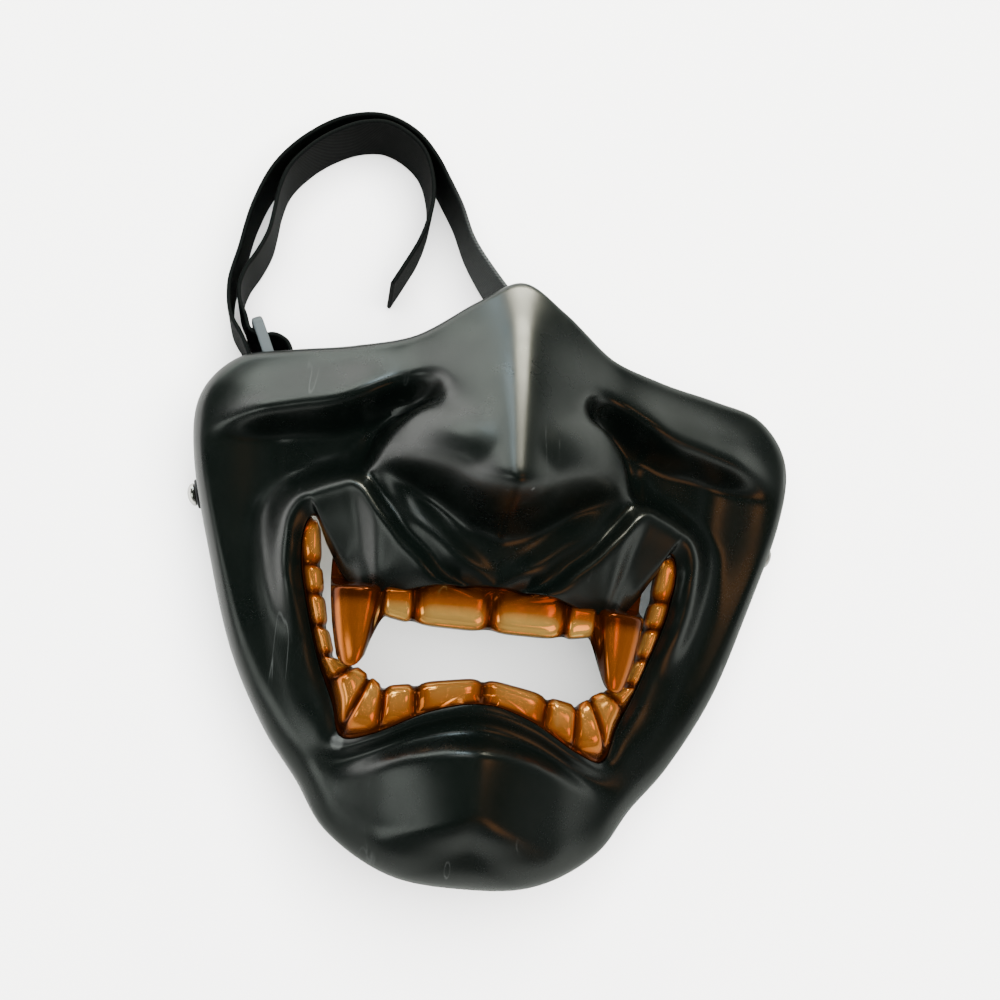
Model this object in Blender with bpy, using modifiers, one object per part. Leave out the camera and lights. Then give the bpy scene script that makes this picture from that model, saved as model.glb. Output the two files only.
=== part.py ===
"""Samurai face guard: a moulded half mask with gold teeth, rivets and a webbing strap.

The mask lies face up on its back rim. X points to the viewer's right, Y to the
nose bridge, Z up out of the face. The origin is the middle of the whole row's
box, at the bottom. Design lengths are millimetres and are turned into metres
where a mesh is made.
"""
import bmesh
import bpy
import numpy as np
from mathutils import Vector

MM = 0.001

# driving sizes of the mask
HALF_WIDTH = 87.0        # mid line to the widest part of the cheek
TOP_REACH = 70.0         # nose line zero to the bridge edge
CHIN_REACH = 94.3        # nose line zero to the chin edge
NOSE_TIP_Y = 8.0
NOSE_RISE = 30.0         # ridge height over the dome at the tip
WALL = 3.0
ROW_SHIFT_Y = -18.5      # puts the row's box on the origin

# Places typed in the functions and tables below are drawn for a half width of 87
# and a chin reach of 94.3 mm, and are stretched with those two sizes.
WIDE = HALF_WIDTH / 87.0
LONG = CHIN_REACH / 94.3

# driving sizes of the fittings
STRAP_WIDTH = 25.0
STRAP_THICK = 1.3
GAP = 0.35
RIVET_STATION = 7.33     # place along the stations below
RIVET_HEIGHT = 0.1782 * HALF_WIDTH
RIVET_HEAD_RADIUS = 3.3
RIVET_HEAD_RISE = 2.3
SHANK_RADIUS = 1.6
SHANK_HOLE_RADIUS = 1.9
WASHER_RADIUS = 4.3
WASHER_THICK = 0.9
FLANGE_THICK = 0.8
SLIDER_MIDDLE = (-69.5, 52.6)     # on the strap's line, half of it beyond the rim
SLIDER_TURN = -65.0               # degrees, lengthwise
SLIDER_LENGTH = 19.9
SLIDER_BAR = 3.6
SLIDER_THICK = 3.2
SLIDER_LOW = 0.6
SLIDER_FOOT = 1.3                 # under the slots
SLIDER_CAP = 2.1                  # over the slots, the worn end that shows
SLOT_CLEAR = 1.2                  # slot height over the strap's width
STRAP_ROOM = 2.5                  # free height between the slider and the cheek corner's rim

# mesh steps of the shell, round the mouth and across
ROUND_STEPS = 44
FLAT_STEPS = 16
WALL_STEPS = 4
TURN_STEPS = 16          # sides of a round body

# Stations run from the mid line at the top, round one side, to the mid line at
# the chin. Sideways lengths are shares of HALF_WIDTH, lengths along Y shares of
# CHIN_REACH, heights shares of HALF_WIDTH. A rim just under zero is cut flat there.
STATION_COLUMNS = ("mouth_x", "mouth_y", "edge_x", "edge_y", "rim_z", "tuck", "round")
STATIONS = (
    (0.000, -0.159, 0.000, 0.742, 0.703, 0.003, 0.023),
    (0.161, -0.170, 0.138, 0.666, 0.709, 0.003, 0.023),
    (0.322, -0.193, 0.310, 0.571, 0.632, 0.004, 0.029),
    (0.437, -0.170, 0.506, 0.543, 0.483, 0.006, 0.034),
    (0.517, -0.069, 0.713, 0.533, 0.376, 0.006, 0.038),
    (0.569, 0.016, 0.885, 0.504, 0.338, 0.008, 0.046),
    (0.601, -0.027, 0.995, 0.382, 0.180, 0.012, 0.070),
    (0.597, -0.127, 0.989, 0.191, -0.020, 0.014, 0.080),
    (0.559, -0.260, 0.902, -0.090, -0.020, 0.014, 0.080),
    (0.511, -0.392, 0.793, -0.376, -0.020, 0.018, 0.080),
    (0.454, -0.509, 0.661, -0.594, -0.020, 0.028, 0.080),
    (0.414, -0.607, 0.540, -0.735, -0.020, 0.046, 0.086),
    (0.310, -0.590, 0.425, -0.875, -0.020, 0.069, 0.092),
    (0.155, -0.520, 0.224, -0.978, -0.020, 0.103, 0.098),
    (0.000, -0.488, 0.000, -1.000, -0.020, 0.115, 0.098),
)


# Heights along the mid line and at the side edge, and the half width, along Y.
SPINE_COLUMNS = ("y", "middle_z", "edge_z", "half_width")
SPINE = (
    (-94.3, 50.0, 50.0, 39.2),
    (-89.6, 52.8, 47.0, 39.2),
    (-80.2, 57.0, 42.0, 39.3),
    (-70.0, 59.0, 37.5, 46.5),
    (-57.0, 60.0, 35.0, 57.4),
    (-46.0, 59.5, 34.0, 63.7),
    (-30.0, 60.6, 33.5, 71.5),
    (-15.0, 63.5, 33.0, 76.6),
    (0.0, 66.0, 33.0, 81.2),
    (20.0, 66.5, 33.5, 86.3),
    (40.0, 66.0, 33.8, 87.0),
    (58.0, 65.0, 34.0, 87.0),
    (75.4, 63.5, 34.0, 87.0),
)


def fade(start, end, value):
    """Smooth zero to one as value goes from start to end (either way round)."""
    share = np.clip((value - start) / (end - start), 0.0, 1.0)
    return share * share * (3.0 - 2.0 * share)


def hump(offset, width):
    """Rounded bump of height one, width mm wide on each side."""
    return np.exp(-(offset / width) ** 2)


def smooth_curve(knots, values, place):
    """Curve through the knots with the slope of each knot's two neighbours."""
    knots = np.asarray(knots, float)
    values = np.asarray(values, float)
    place = np.clip(place, knots[0], knots[-1])
    slope = np.gradient(values, knots)
    k = np.clip(np.searchsorted(knots, place, side="right") - 1, 0, len(knots) - 2)
    step = knots[k + 1] - knots[k]
    u = (place - knots[k]) / step
    return ((1 + 2 * u) * (1 - u) ** 2 * values[k] + u * (1 - u) ** 2 * step * slope[k]
            + u * u * (3 - 2 * u) * values[k + 1] + u * u * (u - 1) * step * slope[k + 1])


def slider_height():
    """Height of the slider, from the strap's width."""
    return SLIDER_FOOT + STRAP_WIDTH + SLOT_CLEAR + SLIDER_CAP


def corner_lift():
    """How far the cheek corner is raised to keep its rim over a tall strap and slider."""
    cheek_corner = STATIONS[4]
    rim = cheek_corner[STATION_COLUMNS.index("rim_z")] * HALF_WIDTH
    return max(SLIDER_LOW + slider_height() + STRAP_ROOM - rim, 0.0)


def station_values(place):
    """Every station column at a place along the stations, in millimetres."""
    table = np.array(STATIONS)
    scale = np.array([CHIN_REACH if name.endswith("_y") else HALF_WIDTH for name in STATION_COLUMNS])
    mirror = np.array([-1 if name.endswith("_x") else 1 for name in STATION_COLUMNS])
    rows = np.vstack([table[1] * mirror, table, table[-2] * mirror]) * scale
    knots = np.arange(-1, len(table) + 1)
    rim = STATION_COLUMNS.index("rim_z")
    rows[:, rim] += corner_lift() * fade(1.5, 3.0, knots) * fade(6.5, 5.0, knots)
    return [smooth_curve(knots, column, place) for column in rows.T]


def dome(x, y):
    """Plain cheek to cheek dome of the mask, no features."""
    column = dict(zip(SPINE_COLUMNS, np.array(SPINE).T))
    middle, edge, half = [smooth_curve(column["y"], column[name], y)
                          for name in ("middle_z", "edge_z", "half_width")]
    across = np.clip(x / half, 0.0, 1.0)
    squeeze = 1.5 + 0.6 * fade(37.0, 52.0, y)
    return edge + (middle - edge) * (1.0 - across ** 1.7) ** squeeze


def nose_ridge(x, y):
    """Share of the nose's rise: a straight rounded ridge with flat sides, cut off under the tip."""
    climb = np.clip((TOP_REACH - y * LONG) / (TOP_REACH - NOSE_TIP_Y), 0.0, 1.04)
    foot = smooth_curve((8.0, 20.0, 40.0, 60.0, 72.0), (23.0, 25.0, 26.0, 20.0, 16.0), y)
    rounding = 4.0
    side = 1.0 - (np.sqrt(x * x + rounding ** 2) - rounding) / foot
    side = (side + np.sqrt(side * side + 0.012)) / 2.0
    under_tip = 9.0 + 0.16 * x
    return climb * side * fade(under_tip - 7.0, under_tip + 1.0, y)


def nose_wing(x, y):
    """Wing beside the tip, the groove hooked over it and the nostril under it."""
    reach_x = np.where(x < 25.0, 17.0, 11.5)
    reach_y = np.where(y < 19.5, 11.5, 13.5)
    away = ((x - 25.0) / reach_x) ** 2 + ((y - 19.5) / reach_y) ** 2
    wing = 8.5 * np.clip(1.0 - away, 0.0, 1.0) * fade(1.0 + 0.16 * x, 8.5 + 0.16 * x, y)
    groove = 2.2 * hump(np.sqrt(away) - 1.10, 0.20) * fade(13.0, 24.0, y) * fade(13.0, 22.0, x)
    nostril = 4.5 * hump(x - 15.0 - 0.5 * y, 5.0) * hump(y - 3.0 - 0.28 * x, 3.2)
    return wing - groove - nostril


def lip_line(x):
    """Y of the main fold of the upper lip, which becomes its upper edge."""
    inner = -13.8 + 24.5 * (x / 38.0) ** 2.4
    outer = smooth_curve((36.0, 40.0, 47.0, 56.0, 62.0), (13.5, 15.0, 12.6, 8.7, 4.0), x)
    return np.where(x < 38.0, np.minimum(inner, 13.0), outer)


def upper_lip(x, y):
    """Swept upper lip with its two folds under the nose."""
    line = lip_line(x)
    reach = smooth_curve((-30.0, -10.0, 0.0, 4.0, 10.0), (46.0, 47.0, 50.0, 60.0, 62.0), y)
    body = fade(line + 2.6, line - 4.4, y) * fade(reach + 5.0, reach - 6.0, x) * fade(-34.0, -22.0, y)
    groove = 1.8 * hump(y - line - 2.6, 2.2) * fade(40.0, 33.0, x)
    crest = 1.5 * hump(y - line + 4.2, 3.2) * fade(42.0, 34.0, x)
    second = -12.5 + 15.0 * (x / 28.0) ** 1.1
    fold = fade(second + 3.0, second - 2.0, y) * fade(line - 2.0, line + 3.6, y) * fade(33.0, 25.0, x)
    return 4.4 * body + crest - groove + 2.8 * fold


def crease_line(y):
    """X of the crease that runs from the lip corner down the cheek."""
    return smooth_curve((-64.0, -50.0, -40.0, -27.0, -13.5, 0.0, 7.0, 12.0),
                        (35.0, 42.3, 47.5, 53.2, 58.2, 62.3, 61.2, 58.0), y)


def cheek_hollow(x, y):
    """Sunk cheek between the raised border, the nose wing and the lip."""
    roll = smooth_curve((12.0, 18.5, 21.0, 25.0, 30.0, 38.0, 46.0, 57.0, 68.0, 84.0),
                        (24.0, 32.0, 37.5, 39.5, 38.3, 34.8, 32.2, 31.0, 29.6, 27.0), x)
    floor = smooth_curve((12.0, 20.0, 24.0, 28.0, 33.0, 36.0, 40.0, 47.0, 52.0, 56.0, 60.0, 63.0, 66.0),
                         (34.0, 33.0, 31.5, 28.5, 24.0, 17.0, 16.0, 13.6, 11.5, 9.7, 7.0, -10.0, -60.0), x)
    border = smooth_curve((-60.0, -45.0, -27.0, -11.0, 5.0, 20.0, 30.0, 50.0),
                          (52.0, 59.0, 66.5, 70.5, 73.5, 75.0, 76.0, 76.0), y)
    crease = crease_line(y)
    above = fade(floor - 1.6, floor + 3.4, y)
    outside = fade(crease - 1.8, crease + 3.6, x) * fade(12.0, 4.0, y)
    flatter = fade(28.0, 50.0, x)
    inside = np.maximum(above, outside) * fade(roll + 1.6 + 2.4 * flatter, roll - 3.0 - 3.5 * flatter, y)
    inside = inside * fade(border + 6.0, border - 12.0, x) * fade(15.0, 20.0, x) * fade(-50.0, -25.0, y)
    depth = (11.0 - 3.5 * fade(40.0, 62.0, x)) * (0.45 + 0.55 * fade(-20.0, 12.0, y))
    raised = 2.2 * hump(y - 37.0, 6.0) * fade(30.0, 44.0, x) * fade(80.0, 66.0, x)
    return raised - depth * inside


def cheek_flank(x, y):
    """Shallow step down between the mouth's border and the crease."""
    crease = crease_line(y)
    step = fade(crease + 1.2, crease - 4.2, x) * fade(34.0, 40.0, x)
    return 2.6 * step * fade(-2.0, -10.0, y) * fade(-56.0, -44.0, y)


def chin(x, y):
    """Chin boss with an upright crest and a soft fold under it."""
    top = -54.7 - 0.0085 * x * x
    fold = smooth_curve((0.0, 5.0, 12.0, 18.0, 24.0, 31.0, 40.0),
                        (-80.6, -82.8, -85.2, -86.6, -86.2, -82.5, -78.0), x)
    keep = fade(top + 1.8, top - 3.6, y) * fade(fold - 3.0, fold + 4.0, y) * fade(42.0, 24.0, x)
    rounding = 2.4
    crest = np.clip(1.0 - (np.sqrt(x * x + rounding ** 2) - rounding) / 34.0, 0.0, 1.0)
    rise = 3.2 + 6.0 * np.clip((-55.0 - y) / 25.0, 0.0, 1.0)
    return keep * (rise * crest + 1.5) - 1.4 * hump(y - fold + 3.0, 2.8) * fade(36.0, 26.0, x)


def face_height(x, y):
    """Height of the outer skin over the plan of the face."""
    x, y = x / WIDE, y / LONG
    plain = dome(x, y) + nose_wing(x, y) + upper_lip(x, y) + cheek_hollow(x, y) + chin(x, y)
    corner = corner_lift() * fade(18.0, 40.0, y) * fade(25.0, 52.0, x)
    return (plain - cheek_flank(x, y)) * WIDE + NOSE_RISE * nose_ridge(x, y) + corner


def shell_points(station, across):
    """Outer skin points: across is 0 at the mouth, 1 at the widest edge, 2 at the rim."""
    mouth_x, mouth_y, edge_x, edge_y, rim_z, tuck, rounding = station_values(station)
    length = np.hypot(edge_x - mouth_x, edge_y - mouth_y)
    share = np.clip(across, 0.0, 1.0) ** 1.15
    x = mouth_x + (edge_x - mouth_x) * share
    y = mouth_y + (edge_y - mouth_y) * share
    z = face_height(np.abs(x), y)
    # the lower lip has a rim and a crease under it, the rest of the mouth edge rolls in
    from_mouth = length * share
    low = fade(10.6, 12.0, station)
    z = z + low * (1.3 * hump(from_mouth - 1.6, 1.4) - 3.4 * hump(from_mouth - 5.0, 2.2))
    z = z - (1.0 - low) * 2.4 * np.exp(-from_mouth / 1.8)
    inward = 1.0 - np.clip(length * (1.0 - share) / rounding, 0.0, 1.0)
    z = z - rounding * (1.0 - np.sqrt(1.0 - inward ** 2))
    # the wall under the widest edge
    down = np.clip(across - 1.0, 0.0, 1.0)
    slide = tuck * np.minimum(down / 0.8, 1.0) ** 1.5
    x = x - (edge_x - mouth_x) / length * slide
    y = y - (edge_y - mouth_y) / length * slide
    least_wall = 1.4
    z = z + (np.minimum(rim_z, z - least_wall) - z) * down
    return x, y, z


def shell_patch(stations, across, smear):
    """Grid of outer skin points, each the mean of nine around it so no detail is clipped."""
    s, t = np.meshgrid(stations, across, indexing="ij")
    total = np.zeros(s.shape + (3,))
    for ds in (-smear, 0.0, smear):
        for dt in (-0.25, 0.0, 0.25):
            flat = t <= 1.0
            limit = np.where(flat, 1.0, 2.0)
            shifted = np.clip(t + dt / FLAT_STEPS * flat, 0.0, limit)
            shifted = np.where((t == 0.0) | (t == 1.0), t, shifted)
            moved = np.clip(s + ds, 0.0, len(STATIONS) - 1.0)
            moved = np.where((s == stations[0]) | (s == stations[-1]), s, moved)
            total += np.stack(shell_points(moved, shifted), 2)
    return total / 9.0


def fresh_object(name, mesh_data, material, collection):
    """Object in the row's frame, linked and painted."""
    obj = bpy.data.objects.new(name, mesh_data)
    obj.data.materials.append(material)
    obj.location = (0.0, ROW_SHIFT_Y * MM, 0.0)
    collection.objects.link(obj)
    return obj


def plain_material(name, colour, metallic, roughness):
    material = bpy.data.materials.new(name)
    material.use_nodes = True
    shader = material.node_tree.nodes["Principled BSDF"]
    shader.inputs["Base Color"].default_value = (*colour, 1.0)
    shader.inputs["Metallic"].default_value = metallic
    shader.inputs["Roughness"].default_value = roughness
    return material


def grid_mesh(name, columns, rows, points):
    """Grid with its corners moved to points, an array of (columns+1, rows+1, 3) in mm."""
    bm = bmesh.new()
    bmesh.ops.create_grid(bm, x_segments=columns, y_segments=rows, size=0.5)
    for vert in bm.verts:
        i = round((vert.co.x + 0.5) * columns)
        j = round((vert.co.y + 0.5) * rows)
        vert.co = Vector(points[i, j]) * MM
    mesh_data = bpy.data.meshes.new(name)
    bm.to_mesh(mesh_data)
    bm.free()
    return mesh_data


def closed_grid_mesh(name, front, back):
    """Solid between two grids of the same size, joined round their border."""
    columns, rows = front.shape[0] - 1, front.shape[1] - 1
    bm = bmesh.new()
    layers = []
    for points in (front, back):
        layers.append([[bm.verts.new(Vector(points[i, j]) * MM) for j in range(rows + 1)]
                       for i in range(columns + 1)])
    top, under = layers
    for i in range(columns):
        for j in range(rows):
            bm.faces.new((top[i][j], top[i + 1][j], top[i + 1][j + 1], top[i][j + 1]))
            bm.faces.new((under[i][j + 1], under[i + 1][j + 1], under[i + 1][j], under[i][j]))
    for i in range(columns):
        bm.faces.new((top[i + 1][0], top[i][0], under[i][0], under[i + 1][0]))
        bm.faces.new((top[i][rows], top[i + 1][rows], under[i + 1][rows], under[i][rows]))
    for j in range(rows):
        bm.faces.new((top[0][j], top[0][j + 1], under[0][j + 1], under[0][j]))
        bm.faces.new((top[columns][j + 1], top[columns][j], under[columns][j], under[columns][j + 1]))
    bmesh.ops.recalc_face_normals(bm, faces=bm.faces)
    mesh_data = bpy.data.meshes.new(name)
    bm.to_mesh(mesh_data)
    bm.free()
    return mesh_data


def shade_smooth(obj):
    obj.data.polygons.foreach_set("use_smooth", [True] * len(obj.data.polygons))


def rivet_seat():
    """Point and outward direction on the side wall for the right rivet."""
    stations = RIVET_STATION + np.array([0.0, 0.05])
    top, rim = np.array(shell_points(np.full(2, RIVET_STATION), np.array([1.0, 2.0])))[2]
    down = 0.5
    for _ in range(30):
        point, ahead = np.array(shell_points(stations, np.full(2, 1.0 + down))).T
        down += (point[2] - RIVET_HEIGHT) / (top - rim)
    along = ahead - point
    outward = np.array([along[1], -along[0], 0.0]) / np.hypot(along[0], along[1])
    return point, outward * np.sign(outward[0])


def turned_mesh(name, profile, segments, point, axis):
    """Body of revolution: profile is (distance along the axis, radius) in mm."""
    side = np.cross(axis, (0.0, 0.0, 1.0))
    side /= np.linalg.norm(side)
    bm = bmesh.new()
    verts = [bm.verts.new(Vector(point + axis * d + side * r) * MM) for d, r in profile]
    edges = [bm.edges.new((verts[i], verts[i + 1])) for i in range(len(verts) - 1)]
    bmesh.ops.spin(bm, geom=verts + edges, cent=Vector(point) * MM, axis=Vector(axis),
                   angle=2 * np.pi, steps=segments, use_merge=True)
    bmesh.ops.remove_doubles(bm, verts=bm.verts, dist=0.00001)
    bmesh.ops.recalc_face_normals(bm, faces=bm.faces)
    mesh_data = bpy.data.meshes.new(name)
    bm.to_mesh(mesh_data)
    bm.free()
    return mesh_data


def make_mask_shell(material, collection, cutter_collection, cutters):
    last = len(STATIONS) - 1.0
    stations = np.linspace(0.0, last, ROUND_STEPS + 1)
    across = np.concatenate([np.linspace(0.0, 1.0, FLAT_STEPS + 1),
                             np.linspace(1.0, 2.0, WALL_STEPS + 1)[1:]])
    points = shell_patch(stations, across, 0.3 * last / ROUND_STEPS)
    points[0, :, 0] = 0.0
    points[-1, :, 0] = 0.0
    mesh_data = grid_mesh("mask_shell", ROUND_STEPS, FLAT_STEPS + WALL_STEPS, points)
    obj = fresh_object("mask_shell", mesh_data, material, collection)
    mirror_and_thicken(obj, WALL, -1.0)
    cut_holes(obj, cutters)
    shade_smooth(obj)
    # the same skin a gap thicker and reaching into the mouth trims the teeth
    grown = points.copy()
    to_mouth = points[:, 0] - points[:, 1]
    to_mouth[:, 2] = 0.0
    to_mouth /= np.linalg.norm(to_mouth, axis=1)[:, None]
    grown[:, 0] += to_mouth * MOUTH_CLEAR
    grown[0, :, 0] = 0.0
    grown[-1, :, 0] = 0.0
    mesh_data = grid_mesh("teeth_cutter", ROUND_STEPS, FLAT_STEPS, grown[:, :FLAT_STEPS + 1])
    cutter = fresh_object("teeth_cutter", mesh_data, material, cutter_collection)
    inner = WALL + 4 * GAP
    mirror_and_thicken(cutter, inner + GAP, (GAP - inner) / (inner + GAP))
    cutter.hide_render = True
    cutter.display_type = "WIRE"
    return cutter


def mirror_and_thicken(obj, thickness, offset):
    mirror = obj.modifiers.new("other_half", "MIRROR")
    mirror.use_clip = True
    mirror.merge_threshold = 0.00005
    solid = obj.modifiers.new("wall", "SOLIDIFY")
    solid.thickness = thickness * MM
    solid.offset = offset


def cut_holes(obj, cutters, folded=False):
    for cutter in cutters:
        cut = obj.modifiers.new("hole", "BOOLEAN")
        cut.operation = "DIFFERENCE"
        cut.solver = "EXACT"
        cut.use_self = folded
        cut.object = cutter


# Upper teeth of one side: name, top and lower x of both ends, lower y of both
# ends, front height at both ends and how far the middle swells.
UPPER_COLUMNS = ("top_x_a", "top_x_b", "low_x_a", "low_x_b", "low_y_a", "low_y_b", "z_a", "z_b",
                 "swell", "top_y")
UPPER_TEETH = {
    "central": (0.4, 20.3, 0.4, 20.2, -26.4, -26.2, 58.6, 57.6, 1.2, -10.5),
    "lateral": (20.9, 29.1, 20.8, 28.9, -26.0, -24.4, 57.4, 55.8, 1.0, -9.5),
    "fang": (29.7, 43.6, 32.2, 39.6, -38.6, -39.0, 56.0, 51.2, 3.0, -7.5),
}
UPPER_STEPS = 6
LOWER_STEPS = 3
TOOTH_ROWS = 5
TEETH_PLATE = 3.4
LIP_CLEAR = 6.4          # outer skin of the lip to the front of the plate behind it
TEETH_FLANGE = 0.065     # share across the shell that the lower plate reaches behind it
FLANGE_PLATE = 2.6
CORNER_CLEAR = 0.8       # more room at the lower corner of the mouth
MOUTH_CLEAR = 1.2        # room left round the mouth edge for the teeth


def upper_teeth_points():
    """Front and back of half the upper row, tooth after tooth from the mid line."""
    front, back = [], []
    w = np.linspace(0.0, 1.0, TOOTH_ROWS + 1)
    taper = w ** 2.1
    for row in UPPER_TEETH.values():
        tooth = dict(zip(UPPER_COLUMNS, row))
        for v in np.linspace(0.0, 1.0, UPPER_STEPS + 1):
            top_x, low_x, low_y, z_line = [tooth[name + "_a"] * (1 - v) + tooth[name + "_b"] * v
                                           for name in ("top_x", "low_x", "low_y", "z")]
            pointed = 1.8 * (2 * v - 1) ** 2 if tooth["swell"] > 2.0 else 0.5 * (2 * v - 1) ** 4
            y = tooth["top_y"] + (low_y + pointed - tooth["top_y"]) * w
            x = top_x * (1 - taper) + low_x * taper
            z = z_line + tooth["swell"] * (1.0 - np.abs(2 * v - 1) ** 3) - 1.6 * w ** 4
            hidden = np.minimum(face_height(x * WIDE, y * LONG) / WIDE - LIP_CLEAR, z + 3.0)
            skin = z + (hidden - z) * fade(-18.5, -14.0, y)
            under = z + (np.minimum(hidden, z) - z) * fade(-25.0, -19.0, y)
            for side, height in ((front, skin), (back, np.minimum(under, skin) - TEETH_PLATE)):
                side.append(np.stack([x * WIDE, y * LONG, height * WIDE], 1))
    for side in (front, back):
        side.insert(0, side[0] * np.array([0.0, 1.0, 1.0]))
    return np.array(front), np.array(back)


# Lower row and the teeth up the side of the mouth, from the lip corner to the
# mid line: stations at both ends of the outer side, inner points of both ends
# and the height of the crown.
LOWER_COLUMNS = ("from_station", "to_station", "in_x_a", "in_y_a", "in_x_b", "in_y_b", "crown_z")
LOWER_TEETH = {
    "side_1": (5.35, 6.93, 47.9, 0.6, 46.2, -11.0, 44.6),
    "side_2": (6.98, 7.58, 46.0, -11.6, 44.6, -19.0, 45.2),
    "side_3": (7.63, 8.25, 44.4, -19.6, 42.6, -27.8, 46.0),
    "side_4": (8.30, 8.90, 42.4, -28.3, 40.0, -35.2, 45.6),
    "side_5": (8.95, 9.55, 39.8, -36.2, 34.4, -37.6, 46.6),
    "corner": (9.62, 10.85, 33.9, -38.0, 30.2, -40.3, 50.0),
    "block": (10.95, 12.05, 29.7, -40.7, 26.6, -42.8, 52.4),
    "lateral": (12.10, 12.72, 25.8, -42.9, 18.3, -41.6, 54.6),
    "central": (12.78, 13.96, 17.5, -41.3, 0.4, -38.4, 56.6),
}


def lower_teeth_points():
    """Front and back of half the lower teeth, from the lip corner to the mid line."""
    front, back = [], []
    w = np.linspace(0.0, 1.0, TOOTH_ROWS + 1)
    flange_low = np.array([0.0, 0.0, FLANGE_PLATE])
    for row in LOWER_TEETH.values():
        tooth = dict(zip(LOWER_COLUMNS, row))
        crown = tooth["crown_z"] * WIDE
        for v in np.linspace(0.0, 1.0, LOWER_STEPS + 1):
            station = tooth["from_station"] * (1 - v) + tooth["to_station"] * v
            edge, behind = np.array(shell_points(np.full(2, station), np.array([0.0, TEETH_FLANGE]))).T
            inner = np.array([(tooth["in_x_a"] * (1 - v) + tooth["in_x_b"] * v) * WIDE,
                              (tooth["in_y_a"] * (1 - v) + tooth["in_y_b"] * v) * LONG])
            reach = edge[:2] - inner
            room = GAP + CORNER_CLEAR * hump(station - 12.0, 0.6)
            outer = edge[:2] - reach / np.linalg.norm(reach) * room
            plan = inner[None, :] * (1 - w[:, None]) + outer[None, :] * w[:, None]
            base = (crown - 2.6) * (1 - w) + (edge[2] - 1.0) * w
            bulge = (crown - np.minimum(base, crown)) * (1.0 - np.abs(2 * w - 0.9) ** 2.4)
            groove = 1.8 * np.abs(2 * v - 1) ** 3 * np.clip(1.2 - np.abs(2 * w - 1), 0.0, 1.0)
            z = base + np.maximum(bulge, 0.0) - groove
            flange = behind - np.array([0.0, 0.0, LIP_CLEAR + 2.2 * fade(10.2, 11.0, station)])
            deep = (z - TEETH_PLATE) * (1 - w ** 2) + (flange[2] - FLANGE_PLATE) * w ** 2
            front.append(np.vstack([np.column_stack([plan, z]), flange]))
            back.append(np.vstack([np.column_stack([plan, deep]), flange - flange_low]))
    for side in (front, back):
        side.append(side[-1] * np.array([0.0, 1.0, 1.0]))
    return np.array(front), np.array(back)


def make_teeth(name, half, material, collection, cutter):
    """One insert: both sides of a row as one plate, trimmed clear of the shell."""
    layers = []
    for side in half:
        other = side[::-1] * np.array([-1.0, 1.0, 1.0])
        middle_first = side[0, 0, 0] == 0.0
        layers.append(np.concatenate([other[:-1], side] if middle_first else [side[:-1], other]))
    obj = fresh_object(name, closed_grid_mesh(name, *layers), material, collection)
    cut_holes(obj, [cutter], folded=True)
    shade_smooth(obj)


# Strap line on the floor: x, y, lift of the lower edge and lean of the band in
# degrees, first the loop round the back of the head, then the free tail.
LOOP_LINE = (
    (75.0, 28.5, 2.0, 0.0), (62.0, 37.5, 1.2, 0.0), (46.0, 45.5, 0.8, 3.0), (28.0, 54.5, 0.6, 5.0),
    (10.0, 67.0, 0.4, 6.0), (-5.0, 84.0, 0.3, 2.5), (-12.5, 95.5, 0.3, 0.0), (-17.3, 106.0, 0.3, 0.0),
    (-21.5, 113.0, 0.3, 0.0), (-25.5, 119.3, 0.3, 0.0), (-32.5, 126.6, 0.3, 0.0), (-43.2, 130.7, 0.3, 0.0),
    (-53.6, 128.9, 0.3, 0.0), (-64.9, 121.6, 0.3, 0.0), (-73.5, 111.3, 0.3, 0.0), (-78.7, 97.5, 0.5, 0.0),
    (-81.0, 83.2, 0.9, 0.0), (-82.7, 70.6, 1.5, 0.0), (-80.9, 61.6, 2.0, 0.0), (-76.4, 54.6, 2.3, 0.0),
    (-73.0, 46.5, 2.5, 0.0), (-72.0, 38.0, 2.7, 0.0), (-76.0, 27.0, 3.0, 0.0),
)
TAIL_LINE = (
    (-73.2, 24.0, 3.0, 0.0), (-67.5, 33.0, 2.8, 0.0), (-63.5, 42.0, 2.6, 0.0), (-61.8, 50.0, 2.5, 0.0),
    (-64.0, 55.6, 2.5, 0.0), (-67.6, 57.2, 2.5, 0.0), (-71.4, 56.5, 2.5, 0.0), (-75.0, 57.9, 2.5, 0.0),
    (-76.8, 61.9, 2.4, 0.0), (-79.0, 66.5, 2.0, 0.0), (-79.7, 71.2, 1.7, 0.0), (-78.7, 76.0, 1.4, 0.0),
    (-75.6, 82.6, 1.0, 0.0), (-73.2, 89.5, 0.7, 0.0), (-72.4, 96.0, 0.5, 0.0), (-71.9, 102.0, 0.3, 0.0),
    (-70.0, 109.5, 0.3, 0.0), (-64.6, 117.2, 0.3, 0.0), (-56.5, 124.0, 0.3, 0.0), (-48.5, 127.8, 0.3, 0.0),
    (-42.5, 128.6, 0.3, 0.0), (-35.6, 126.2, 0.3, 0.0), (-30.0, 121.4, 0.3, 0.0), (-26.9, 114.5, 0.3, 0.0),
    (-25.7, 107.0, 0.3, 0.0), (-26.4, 100.0, 0.3, 0.0), (-28.4, 92.5, 0.3, 0.0), (-31.6, 85.3, 0.3, 0.0),
    (-35.2, 77.8, 0.3, 0.0),
)
STRAP_INSET = 4.6        # outer skin to the near face of the strap at a rivet
STRAP_LAYER = STRAP_THICK + GAP
STRAP_STEPS = 2          # pieces between two points of a line

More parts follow.
